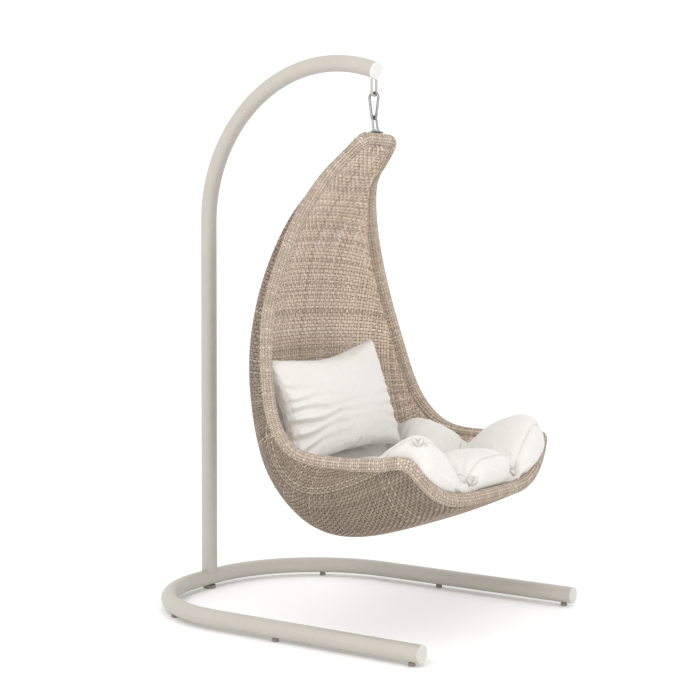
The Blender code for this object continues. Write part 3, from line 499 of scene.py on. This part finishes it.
class Strands:
    """Flat strands with a lens-shaped section, gathered into one mesh."""

    def __init__(self):
        self.verts, self.quads, self.tones, self.count = [], [], [], 0

    def add(self, centre, normal, width, thick, tone, closed=False):
        if closed:
            tangent = unit(np.roll(centre, -1, 0) - np.roll(centre, 1, 0))
        else:
            tangent = unit(np.gradient(centre, axis=0))
        side = unit(np.cross(tangent, normal))
        normal = np.cross(side, tangent)
        width = np.broadcast_to(width, len(centre))[:, None]
        thick = np.broadcast_to(thick, len(centre))[:, None]
        rings = np.stack([centre + normal * thick, centre + side * width,
                          centre - normal * thick, centre - side * width], 1)
        n = len(centre)
        k = np.arange(4)
        if closed:
            a = 4 * np.arange(n)[:, None]
            b = 4 * ((np.arange(n) + 1) % n)[:, None]
        else:
            a = 4 * np.arange(n - 1)[:, None]
            b = a + 4
        m = (k + 1) % 4
        quads = np.stack([a + k, a + m, b + m, b + k], -1).reshape(-1, 4)
        if not closed:
            ends = np.array([[3, 2, 1, 0], [0, 1, 2, 3]])
            ends[1] += 4 * (n - 1)
            quads = np.concatenate([quads, ends])
        self.verts.append(rings.reshape(-1, 3))
        self.quads.append(quads + self.count)
        self.tones.append(np.full(len(quads), tone))
        self.count += 4 * n

    def build(self, name, mats, most=90_000):
        """Objects of at most this many faces each."""
        groups, size = [[]], 0
        for i, quads in enumerate(self.quads):
            if size + len(quads) > most:
                groups.append([])
                size = 0
            groups[-1].append(i)
            size += len(quads)
        objects = []
        for n, group in enumerate(groups):
            start = int(self.quads[group[0]].min())
            objects.append(quad_object(
                f"{name}_{n + 1}", np.concatenate([self.verts[i] for i in group]),
                np.concatenate([self.quads[i] for i in group]) - start, mats,
                np.concatenate([self.tones[i] for i in group])))
        return objects


def weave_wave(distance):
    return np.clip(1.6 * np.cos(math.pi * distance / PITCH), -1, 1)


def build_skin(name, side, tones, node, random):
    """Pairs of strands along the shell and across it, over and under each other."""
    end_gap = 0.008             # from a strand's end to the rim's centre line
    dip, dip_start, dip_length = 0.0045, 0.004, 0.024
    first_row, third = 0.009, PITCH / 3

    def settle(v, phi, edge, lift):
        """Points at the skin's offset, dipping under the rim's wrapping at their ends."""
        near = smooth_step((edge - dip_start) / dip_length)
        offset = side * (SKIN_OFFSET - dip * (1 - near)) + side * SWING * lift * near
        normal = shell_normal(v, phi)
        return shell(v, phi) + normal * offset[:, None], normal * side

    def tone_of(v=None):
        if v is not None and side < 0 and min(abs(v - place) for place in RIB_PLACES) < 0.05:
            return 0
        return int(random.choice(3, p=(0.26, 0.68, 0.06)))

    along = Strands()
    s = np.arange(first_row, KEEL_LENGTH - end_gap, third)
    v = np.interp(s, KEEL, V_GRID)
    rows = arc_rows(v)
    widest = np.array([np.interp(p, PHI_GRID, row) for p, row in zip(rim_phi(v), rows)])
    lines = int(widest.max() / PITCH) + 1
    for i in range(-lines, lines + 1):
        for shift in (-PAIR, PAIR):
            u = i * PITCH + shift
            inside = np.flatnonzero(widest - abs(u) > end_gap)
            if len(inside) < 8:
                continue
            pick = slice(inside[0], inside[-1] + 1)
            phi = np.array([np.interp(abs(u), row, PHI_GRID) for row in rows[pick]])
            edge = np.minimum(widest[pick] - abs(u), np.minimum(s[pick], KEEL_LENGTH - s[pick]))
            points, normal = settle(v[pick], math.copysign(1, u) * phi, edge,
                                    -weave_wave(s[pick]) * (-1) ** i)
            along.add(points, normal, STRAND_HALF, STRAND_THICK, tone_of())

    cross = Strands()
    for j in range(1, int(KEEL_LENGTH / PITCH) + 1):
        for shift in (-PAIR, PAIR):
            at = j * PITCH + shift
            if not 0.010 < at < KEEL_LENGTH - end_gap:
                continue
            v_row = float(np.interp(at, KEEL, V_GRID))
            row = arc_rows([v_row])[0]
            reach = float(np.interp(rim_phi(v_row), PHI_GRID, row)) - end_gap
            count = int(reach / third)
            steps = np.arange(-count, count + 1) * third
            u = np.concatenate([[-reach], steps[np.abs(steps) < reach - 0.0015], [reach]])
            phi = np.sign(u) * np.interp(np.abs(u), row, PHI_GRID)
            v_all = np.full(len(u), v_row)
            edge = np.minimum(reach + end_gap - np.abs(u), min(at, KEEL_LENGTH - at))
            points, normal = settle(v_all, phi, edge, weave_wave(u) * (-1) ** j)
            keel_speed = np.linalg.norm(shell_slopes(np.array([v_row]), np.array([0.0]))[0])
            local = np.linalg.norm(shell_slopes(v_all, phi)[0], axis=1) / keel_speed
            cross.add(points, normal, STRAND_HALF * np.clip(local, 0.3, 1.15), STRAND_THICK,
                      tone_of(v_row))
    pieces = along.build(f"{name}_length", tones) + cross.build(f"{name}_cross", tones)
    for piece in pieces:
        finish_piece(piece, "chair", "woven_rattan", node)


# ---------------------------------------------------------------- the wrapped rim
def bend_between(start, leaving, end, arriving, steps):
    reach = 0.40 * np.linalg.norm(end - start)
    control = (start, start + leaving * reach, end - arriving * reach, end)
    points = []
    for k in range(steps):
        t = (k + 0.5) / steps
        weights = ((1 - t) ** 3, 3 * t * (1 - t) ** 2, 3 * t * t * (1 - t), t ** 3)
        points.append(sum(p * w for p, w in zip(control, weights)))
    return points


def rim_line():
    """The rim's closed centre line, finely divided."""
    side = np.linspace(CORNER_TOP_V, CORNER_FRONT_V, 240)
    quarter = math.pi / 2

    def corner(sign, near, border, border_phi):
        leaving = shell_slopes(np.array([near]), np.array([sign * quarter]))[0][0] * (border - near)
        arriving = shell_slopes(np.array([float(border)]), np.array([sign * border_phi]))[1][0] * -sign
        return bend_between(shell(near, sign * quarter), unit(leaving),
                            shell(border, sign * border_phi), unit(arriving), 24)

    line = list(shell(side, quarter))
    line += corner(1, CORNER_FRONT_V, LAST, FRONT_PHI)
    line += list(shell(LAST, np.linspace(FRONT_PHI, -FRONT_PHI, 97)))
    line += corner(-1, CORNER_FRONT_V, LAST, FRONT_PHI)[::-1]
    line += list(shell(side[::-1], -quarter))
    line += corner(-1, CORNER_TOP_V, 0, CROWN_PHI)
    line += list(shell(0, np.linspace(-CROWN_PHI, CROWN_PHI, 31)))
    line += corner(1, CORNER_TOP_V, 0, CROWN_PHI)[::-1]
    return np.array(line)


def build_rim(random):
    """Windings round the rim, woven over and under strands that run along it."""
    line = rim_line()
    loop = np.concatenate([line, line[:1]])
    run = distances(loop)
    turns = 2 * int(run[-1] / (2 * WINDING_PITCH))
    fine = np.linspace(0, run[-1], 4 * turns + 1)[:-1]
    points = np.stack([np.interp(fine, run, loop[:, k]) for k in range(3)], 1)
    for _ in range(5):
        points = (np.roll(points, 1, 0) + 2 * points + np.roll(points, -1, 0)) / 4
    tangents = unit(np.roll(points, -1, 0) - np.roll(points, 1, 0))
    middle = points.mean(0) + np.array((0.0, 0.35, 0.0))
    first = middle - points
    first = unit(first - tangents * (first * tangents).sum(1)[:, None])
    second = np.cross(tangents, first)

    wrap = Strands()
    angles = math.tau * np.arange(4 * RIM_LENGTHS) / (4 * RIM_LENGTHS)
    ring = points[::4, None] + RIM_RADIUS * (first[::4, None] * np.cos(angles)[None, :, None]
                                             + second[::4, None] * np.sin(angles)[None, :, None])
    apart = np.linalg.norm(np.roll(ring, -1, 0) - np.roll(ring, 1, 0), axis=2) / 2
    for n in range(turns):
        at = 4 * n
        out = first[at] * np.cos(angles)[:, None] + second[at] * np.sin(angles)[:, None]
        lift = RIM_SWING * np.clip(1.5 * np.cos(angles * RIM_LENGTHS / 2), -1, 1) * (-1) ** n
        lean = tangents[at] * (0.0008 * np.sin(angles + random.random()))[:, None]
        tone = int(random.choice(3, p=(0.36, 0.46, 0.18)))
        wrap.add(points[at] + out * (RIM_RADIUS + lift)[:, None] + lean, out,
                 np.clip(0.44 * apart[n], 0.0012, 0.0066), 0.0010, tone, closed=True)
    steps = np.arange(0, 4 * turns, 2)
    for k in range(RIM_LENGTHS):
        angle = math.tau * k / RIM_LENGTHS
        out = first[steps] * math.cos(angle) + second[steps] * math.sin(angle)
        lift = RIM_SWING * np.cos(math.pi * steps / 4) * (-1) ** k
        wrap.add(points[steps] + out * (RIM_RADIUS - lift)[:, None], out, 0.0042, 0.0009,
                 int(random.choice(3, p=(0.25, 0.55, 0.20))), closed=True)
    for piece in wrap.build("rim_winding", RIM_TONES):
        finish_piece(piece, "chair", "woven_rattan", "rim_wrap")


# ---------------------------------------------------------------- soft pieces
def inflate(obj, pressure, most, frames=20, voxel=0.006, stiffness=12.0):
    """Blows the fabric up by cloth simulation, each point moving this far at most."""
    bpy.context.view_layer.objects.active = obj
    remesh = obj.modifiers.new("remesh", "REMESH")
    remesh.mode = "VOXEL"
    remesh.voxel_size = voxel
    bpy.ops.object.modifier_apply(modifier=remesh.name)
    before = np.zeros(len(obj.data.vertices) * 3, np.float32)
    obj.data.vertices.foreach_get("co", before)
    cloth = obj.modifiers.new("cloth", "CLOTH")
    settings = cloth.settings
    settings.quality = 5
    settings.mass = 0.25
    settings.use_pressure = True
    settings.uniform_pressure_force = pressure
    settings.tension_stiffness = settings.compression_stiffness = stiffness
    settings.shear_stiffness = stiffness / 2
    settings.bending_stiffness = 0.4
    settings.shrink_min = -0.06
    settings.effector_weights.gravity = 0.0
    cloth.collision_settings.use_collision = False
    cloth.collision_settings.use_self_collision = False
    cloth.point_cache.frame_start, cloth.point_cache.frame_end = 1, frames
    scene = bpy.context.scene
    for number in range(1, frames + 1):
        scene.frame_set(number)
    shaped = obj.evaluated_get(bpy.context.evaluated_depsgraph_get())
    after = np.zeros_like(before)
    shaped.data.vertices.foreach_get("co", after)
    obj.modifiers.remove(cloth)
    before, after = before.reshape(-1, 3), after.reshape(-1, 3)
    move = after - before
    length = np.linalg.norm(move, axis=1, keepdims=True)
    move *= np.minimum(1.0, most / np.maximum(length, 1e-9))
    obj.data.vertices.foreach_set("co", (before + move).ravel())
    obj.data.update()
    scene.frame_set(1)


def moved(obj, change):
    """Applies change(points, normals) to the mesh's points."""
    mesh = obj.data
    points = np.zeros(len(mesh.vertices) * 3, np.float32)
    normals = np.zeros(len(mesh.vertices) * 3, np.float32)
    mesh.vertices.foreach_get("co", points)
    mesh.vertex_normals.foreach_get("vector", normals)
    points = change(points.reshape(-1, 3).astype(float), normals.reshape(-1, 3).astype(float))
    mesh.vertices.foreach_set("co", points.astype(np.float32).ravel())
    mesh.update()


def rumple(points, scale, seed):
    """Soft noise from -1 to 1 at each point."""
    shift = Vector((seed, 3.1 * seed, -seed))
    return np.array([noise.noise(Vector(p) * scale + shift) for p in points])


def closed_grid(top, bottom, mat, name):
    """A closed solid between two grids of points."""
    rows, columns = top.shape[:2]
    verts = np.concatenate([top.reshape(-1, 3), bottom.reshape(-1, 3)])
    size, faces = rows * columns, []
    for i in range(rows - 1):
        for k in range(columns - 1):
            a = i * columns + k
            face = (a, a + 1, a + columns + 1, a + columns)
            faces += [face, tuple(size + n for n in reversed(face))]
    grid = np.arange(size).reshape(rows, columns)
    border = np.concatenate([grid[0], grid[1:, -1], grid[-1, -2::-1], grid[-2:0:-1, 0]]).tolist()
    for n, a in enumerate(border):
        b = border[(n + 1) % len(border)]
        faces.append((a, size + a, size + b, b))
    return face_object(name, verts, faces, mat, 180)


PILLOW_PLACE = (Matrix.Translation((-0.068, 0.006, 0.760))
                @ Matrix.Rotation(math.radians(-3.5), 4, "Y")
                @ Matrix.Rotation(math.radians(-17), 4, "X"))
PILLOW_HALF = (0.334, 0.204)
# Folds that run in from the pillow's sides: place along the side, depth, width, reach and tilt.
PILLOW_FOLDS = [(-0.74, 0.020, 0.050, 0.55, 0.26), (-0.50, 0.030, 0.055, 0.62, 0.15),
                (-0.27, 0.034, 0.050, 0.75, 0.05), (-0.04, 0.028, 0.050, 0.60, -0.04),
                (0.17, 0.022, 0.045, 0.50, -0.10), (0.40, 0.012, 0.045, 0.45, -0.16)]


def pillow_outline(s, t):
    """Local x and z of the pillow's two panels: edges pull in between the corners."""
    x = PILLOW_HALF[0] * s * (1 - 0.085 * (1 - t * t) * s * s)
    z = PILLOW_HALF[1] * t * (1 - 0.10 * (1 - s * s) * t * t)
    return x, z


def dent(s, t):
    """How far the pillow's top edge sags in its middle."""
    return 0.014 * np.exp(-(s / 0.5) ** 2) * (t > 0) * t


def build_pillow():
    s, t = np.meshgrid(np.linspace(-1, 1, 61), np.linspace(-1, 1, 41))
    x, z = pillow_outline(s, t)
    bulge = 0.004 + 0.080 * ((1 - s * s) * (1 - t * t)) ** 0.45
    z = z - dent(s, t)
    front = np.stack([x, -bulge, z], -1)
    back = np.stack([x, bulge * 0.9, z], -1)
    pillow = closed_grid(front, back, FABRIC, "scatter_pillow")
    inflate(pillow, 3.2, 0.014, voxel=0.006)

    def folds(points, normals):
        s, t = points[:, 0] / PILLOW_HALF[0], points[:, 2] / PILLOW_HALF[1]
        lift = np.zeros(len(points))
        for place, height, width, reach, tilt in PILLOW_FOLDS:
            for end, share in ((-1, 1.0), (1, 0.25)):
                inward = 1 - s * end
                ridge = t - place - tilt * inward - 0.03 * np.sin(9 * inward + 20 * place)
                fade = share * height * np.exp(-2.2 * inward.clip(0, None) / reach)
                lift -= fade * np.exp(-(ridge / width) ** 2)
                lift += 0.6 * fade * np.exp(-((ridge - 1.7 * width) / (0.8 * width)) ** 2)
        edge = np.exp(-(1 - np.abs(t)).clip(0, None) / 0.10)
        lift += 0.0016 * edge * np.sin(s * 46 + 4 * t) + 0.0035 * rumple(points, 9.0, 2.0)
        lift += 0.0012 * rumple(points, 34.0, 5.0)
        return points + normals * (lift * np.abs(normals[:, 1]) ** 0.7)[:, None]

    moved(pillow, folds)
    seam, points_round = [], 240
    for k in range(points_round):
        a = 4 * k / points_round
        side, w = int(a), 2 * (a - int(a)) - 1
        s, t = ((w, -1), (1, w), (-w, 1), (-1, -w))[side]
        x, z = pillow_outline(s, t)
        z -= dent(s, t)
        seam.append((x * 1.004, 0.001 * math.sin(k * 0.9), z * 1.006))
    place_soft(pillow, seam, "pillow_seam", PILLOW_PLACE, 0.0022)
    finish_piece(pillow, "chair", "cushion_fabric", "back_pillow")


def bowl_surface(first_v, rows, columns, gap):
    """The surface this far inside the inner skin's middle, from a station to the front lip."""
    vv, pp = np.meshgrid(np.linspace(first_v, LAST, rows),
                         np.linspace(-math.pi / 2, math.pi / 2, columns), indexing="ij")
    points = shell(vv, pp) - shell_normal(vv, pp) * (SKIN_OFFSET + gap)
    corners = [i * columns + k for i in range(rows - 1) for k in range(columns - 1)]
    quads = [(a, a + 1, a + columns + 1, a + columns) for a in corners]
    return BVHTree.FromPolygons([tuple(p) for p in points.reshape(-1, 3)], quads)


def mesh_surface(mesh):
    return BVHTree.FromPolygons([v.co.copy() for v in mesh.vertices],
                                [tuple(p.vertices) for p in mesh.polygons])


def inside_bowl(points, gap):
    """Moves points that lie in the shell's weave back to this far inside it."""
    bowl = bowl_surface(1.0, 120, 81, gap)
    centre = Vector(points.mean(0))
    place, normal = bowl.find_nearest(centre)[:2]
    inward = 1.0 if normal.dot(centre - place) > 0 else -1.0
    held = points.copy()
    for n, point in enumerate(points):
        place, normal = bowl.find_nearest(Vector(point))[:2]
        if inward * normal.dot(Vector(point) - place) < 0:
            held[n] = place
    return held


def place_soft(obj, seam, name, matrix, radius):
    """Puts a soft piece where it belongs, with its seam's rolled edge beside it."""
    obj.data.transform(matrix)
    moved(obj, lambda points, normals: inside_bowl(points, 0.004))
    subdivide(obj)
    line = np.array([tuple(matrix @ Vector(p)) for p in seam])
    skin = mesh_surface(obj.data)
    line = np.array([tuple(skin.find_nearest(Vector(p))[0]) for p in line])
    for _ in range(2):
        line = (np.roll(line, 1, 0) + 2 * line + np.roll(line, -1, 0)) / 4
    welt = Strands()
    out = unit(line - line.mean(0))
    welt.add(line, out, radius, radius, 0, closed=True)
    piece = welt.build(name, [PIPING])[0]
    piece.parent = obj
    subdivide(piece)


def subdivide(obj):
    smoother = obj.modifiers.new("smooth", "SUBSURF")
    smoother.levels = smoother.render_levels = 1
    bpy.context.view_layer.objects.active = obj
    bpy.ops.object.modifier_apply(modifier=smoother.name)


# Lobes of the seat pad: middle x and y, half sizes across and along, height at the foot, rise,
# the slope of the rise along y, and how pointed the lobe is (2 is a dome, less is a ridge).
PAD_LOBES = [
    (-0.385, -0.555, 0.250, 0.225, 0.450, 0.275, 0.00, 1.6),
    (0.400, -0.520, 0.235, 0.310, 0.450, 0.280, -0.05, 1.6),
    (0.045, -0.530, 0.215, 0.215, 0.455, 0.155, 0.00, 3.2),
    (-0.430, -0.150, 0.120, 0.300, 0.450, 0.165, 0.15, 2.0),
    (0.425, -0.090, 0.140, 0.240, 0.450, 0.240, 0.20, 2.0),
    (0.000, -0.170, 0.360, 0.290, 0.420, 0.125, 0.10, 2.0),
    (0.000, 0.090, 0.330, 0.130, 0.470, 0.120, 0.00, 2.0),
]
# Tufts: x, y, depth and reach.
TUFTS = [(-0.110, -0.570, 0.030, 0.050), (0.190, -0.580, 0.028, 0.045),
         (-0.235, -0.335, 0.022, 0.060), (0.235, -0.325, 0.022, 0.060),
         (0.0, -0.345, 0.015, 0.050), (-0.300, -0.020, 0.018, 0.050), (0.300, -0.020, 0.018, 0.050)]
# Sewn channels between the tufts, as x and y.
PAD_SEAMS = [
    [(-0.110, -0.585), (-0.155, -0.450), (-0.235, -0.335), (-0.300, -0.180), (-0.300, -0.020)],
    [(0.190, -0.590), (0.205, -0.450), (0.240, -0.325), (0.300, -0.180), (0.300, -0.020)],
    [(-0.235, -0.335), (-0.120, -0.350), (0.0, -0.345), (0.120, -0.345), (0.235, -0.325)],
    [(-0.235, -0.335), (-0.340, -0.365), (-0.450, -0.345)],
    [(0.235, -0.325), (0.340, -0.280), (0.450, -0.235)],
]
# Where the pad's fabric ties are, and the two directions of each tie's loops.
PAD_TIES = [(-0.425, -0.590, 0.690, (35, 110)), (-0.112, -0.600, 0.520, (40, 125)),
            (0.188, -0.600, 0.520, (55, 140))]
TIE_LENGTH = 0.034


def pad_top(x, y):
    """Height of the pad's top: soft lobes that meet in creases, pulled down at its tufts."""
    heights = []
    for mx, my, ax, ay, foot, rise, slope, power in PAD_LOBES:
        r = np.hypot((x - mx) / ax, (y - my) / ay)
        dome = np.clip(1 - r ** power, 0, None) ** (0.5 + 0.7 * (2 - min(power, 2)))
        heights.append(foot + (rise + slope * (y - my)) * dome
                       - 0.25 * np.clip(r - 1, 0, None) * min(ax, ay))
    stack = np.array(heights)
    top = stack.max(0)
    top = top + 0.006 * np.log(np.exp((stack - top) / 0.006).sum(0))
    for tx, ty, deep, reach in TUFTS:
        dx, dy = x - tx, y - ty
        r = np.hypot(dx, dy)
        top = top - deep * np.exp(-(r / reach) ** 2)
        top = top - 0.0045 * np.cos(7 * np.arctan2(dy, dx)) * np.exp(-r / 0.07) * (r > 0.008)
    return top


def fine_line(points, step=0.006):
    """A smooth line through the points, closely divided."""
    points = np.asarray(points, float)
    for _ in range(3):
        cut = [points[0]]
        for a, b in zip(points[:-1], points[1:]):
            cut += [0.75 * a + 0.25 * b, 0.25 * a + 0.75 * b]
        points = np.array(cut + [points[-1]])
    run = distances(points)
    places = np.linspace(0, run[-1], max(int(run[-1] / step), 4))
    return np.stack([np.interp(places, run, points[:, k]) for k in range(points.shape[1])], 1)


def puckers(points, line, height, pitch, reach):
    """Small gathers across a seam, which die away from it."""
    gap = np.linalg.norm(points[:, None, :2] - line[None, :, :2], axis=2)
    nearest = gap.argmin(1)
    distance = gap[np.arange(len(points)), nearest]
    run = distances(line[:, :2])
    wave = np.sin(math.tau * run[nearest] / pitch + 1.3 * np.sin(9 * run[nearest]))
    groove = np.exp(-(distance / 0.008) ** 2)
    return height * wave * np.exp(-distance / reach) * (1 - groove) - 0.0035 * groove


def turned_in(share, depth):
    """How far the pad's side has turned in round a corner, from none at 0 to the depth at 1."""
    return depth * (1 - np.sqrt(1 - np.clip(share, 0, 1) ** 2 * 0.98))


def build_pad():
    bowl = bowl_surface(7.0, 90, 121, 0.0042)
    front, back = -0.607, 0.125
    t = np.linspace(-1, 1, 91)
    y_line = (front + back) / 2 + (back - front) / 2 * t
    rim_y, half = STATIONS[7:, 1][::-1], STATIONS[7:, 0][::-1]
    half_at = np.interp(y_line, rim_y, half) - 0.036
    half_at -= turned_in((-0.500 - y_line) / 0.105, 0.075)
    half_at -= turned_in((y_line + 0.03) / 0.155, 0.16)
    s = np.linspace(-1, 1, 121)
    x = half_at[:, None] * s[None]
    y = np.broadcast_to(y_line[:, None], x.shape)
    bottom = np.zeros(x.shape)
    for at in np.ndindex(x.shape):
        hit = bowl.ray_cast(Vector((x[at], y[at], 0.80)), DOWN)[0]
        bottom[at] = hit.z if hit else 0.50
    front_edge = np.clip((-0.52 - y) / 0.09, 0, 1)
    lip_phi = np.arcsin(np.clip(x / STATIONS[LAST, 0], -0.99, 0.99))
    over_lip = np.maximum(bottom, shell(LAST, lip_phi)[..., 2] + 0.024)
    bottom = np.where(front_edge > 0, bottom * (1 - front_edge) + over_lip * front_edge, bottom)
    top = np.maximum(pad_top(x, y), bottom + 0.03)
    ss, tt = s[None] ** 2, t[:, None] ** 2
    fill = np.sqrt(np.clip((1 - ss ** 7) * (1 - tt ** 9), 0, 1))
    middle = bottom + 0.30 * (top - bottom)
    low = bottom + (middle - bottom) * (1 - fill) + 0.0005
    high = middle + (top - middle) * fill + 0.002
    out = np.stack([x, y, high], -1)
    under = np.stack([x, y, low], -1)
    pad = closed_grid(out, under, FABRIC, "seat_pad")
    inflate(pad, 2.6, 0.012, voxel=0.008, stiffness=15.0)

    lines = [fine_line(seam) for seam in PAD_SEAMS]
    for edge in ((slice(2, 70), 4), (slice(2, 70), -5), (3, slice(4, -4))):
        lines.append(fine_line(np.stack([x[edge], y[edge]], 1)))

    def creases(points, normals):
        up = np.clip(normals[:, 2] + 0.35, 0, 1)
        lift = 0.0045 * rumple(points, 7.0, 1.0) + 0.0022 * rumple(points, 21.0, 4.0)
        for n, line in enumerate(lines):
            height = 0.0024 if n < len(PAD_SEAMS) else 0.0016
            lift += puckers(points, line, height, 0.034 + 0.003 * n, 0.030)
        return points + normals * (lift * up)[:, None]

    moved(pad, creases)
    subdivide(pad)
    skin = mesh_surface(pad.data)
    cords = Strands()
    for line in lines:
        on_top = []
        for px, py in line:
            hit = skin.ray_cast(Vector((px, py, 0.95)), DOWN)[0]
            if hit is not None:
                on_top.append((*hit[:2], hit.z + 0.0004))
        on_top = np.array(on_top)
        for _ in range(3):
            on_top[1:-1] = (on_top[:-2] + 2 * on_top[1:-1] + on_top[2:]) / 4
        cords.add(on_top, np.array((0.0, 0.0, 1.0)), 0.0019, 0.0015, 0)
    for *spot, turns in PAD_TIES:
        place, facing = skin.find_nearest(Vector(spot))[:2]
        normal = np.array(facing)
        ahead = np.array(facing.cross(Vector((1, 0, 0))).normalized())
        level = np.cross(ahead, normal)
        share = np.linspace(0, 1, 13)[:, None]
        for turn in turns:
            away = level * math.cos(math.radians(turn)) + ahead * math.sin(math.radians(turn))
            loop = np.array(place) + away * TIE_LENGTH * share
            loop += normal * (0.002 + 0.009 * np.sin(2.6 * share))
            leaf = 0.0022 + 0.0068 * np.sin(math.pi * share[:, 0]) ** 0.8
            cords.add(loop, normal, leaf, 0.0022, 0)
    for piece in cords.build("pad_seam", [PIPING]):
        piece.parent = pad
    finish_piece(pad, "chair", "cushion_fabric", "seat_cushion")


# ---------------------------------------------------------------- carried-over CAD pieces
def paint_nodes():
    finish = {"powder_coat": POWDER, "white_paint": WHITE, "cap_plastic": PLASTIC,
              "foot_rubber": RUBBER, "zinc_steel": ZINC, "stainless_steel": STAINLESS,
              "frame_aluminium": ALUMINIUM}
    for part in frame["record"]["subparts"]:
        mat = finish.get(part["material_slot"])
        if mat:
            for slot in NODES[part["node"]].material_slots:
                slot.material = mat


# ---------------------------------------------------------------- stage
CAMERA_PLACE, CAMERA_LENS = (-4.6054, -3.2132, 1.2862), 79.894594
CAMERA_ANGLES = (-55.2963, 3.4303, 0.1836)      # yaw, pitch and roll in degrees
FLOOR_HALF = 14


def build_stage():
    mesh = bpy.data.meshes.new("floor")
    corners = [(x * FLOOR_HALF, y * FLOOR_HALF, 0) for x, y in ((-1, -1), (1, -1), (1, 1), (-1, 1))]
    mesh.from_pydata(corners, [], [(0, 1, 2, 3)])
    mesh.materials.append(surface("floor_paint", (0.97, 0.97, 0.97), 0.004, 2, (0.8, 0.9)))
    linked("floor", mesh)

    world = bpy.data.worlds.new("studio")
    world.use_nodes = True
    sky = world.node_tree.nodes["Background"].inputs
    sky["Color"].default_value = (1, 1, 1, 1)
    sky["Strength"].default_value = 1.13
    bpy.context.scene.world = world

    def lamp(name, place, aim, size, power):
        data = bpy.data.lights.new(name, "AREA")
        data.shape, data.size, data.energy = "DISK", size, power
        light = linked(name, data)
        light.location = place
        light.rotation_euler = (Vector(aim) - Vector(place)).to_track_quat("-Z", "Y").to_euler()

    lamp("key", (-5.4, -1.2, 3.8), (0, 0, 0.9), 2.0, 92)
    lamp("front", (-1.4, -4.6, 2.0), (0, 0, 0.9), 2.2, 34)
    bpy.context.scene.view_settings.view_transform = "Standard"

    yaw, pitch, roll = (math.radians(angle) for angle in CAMERA_ANGLES)
    back = Vector((math.sin(yaw) * math.cos(pitch), -math.cos(yaw) * math.cos(pitch),
                   math.sin(pitch)))
    level = Vector((math.cos(yaw), math.sin(yaw), 0))
    upright = back.cross(level)
    right = level * math.cos(roll) + upright * math.sin(roll)
    up = upright * math.cos(roll) - level * math.sin(roll)
    camera = bpy.data.cameras.new("camera")
    camera.sensor_width = 36.0
    camera.lens = CAMERA_LENS
    camera.clip_end = 60
    eye = linked("camera", camera)
    turn = Matrix((right, up, back)).transposed().to_4x4()
    eye.matrix_world = Matrix.Translation(CAMERA_PLACE) @ turn
    bpy.context.scene.camera = eye


rng = np.random.default_rng(7)
build_stand()
build_hardware()
build_skin("outer_weave", 1, OUTER_SHADED_TONES, "outer_skin", rng)
build_skin("inner_weave", -1, INNER_LIT_TONES, "inner_skin", rng)
build_rim(rng)
build_pillow()
build_pad()
paint_nodes()
build_stage()
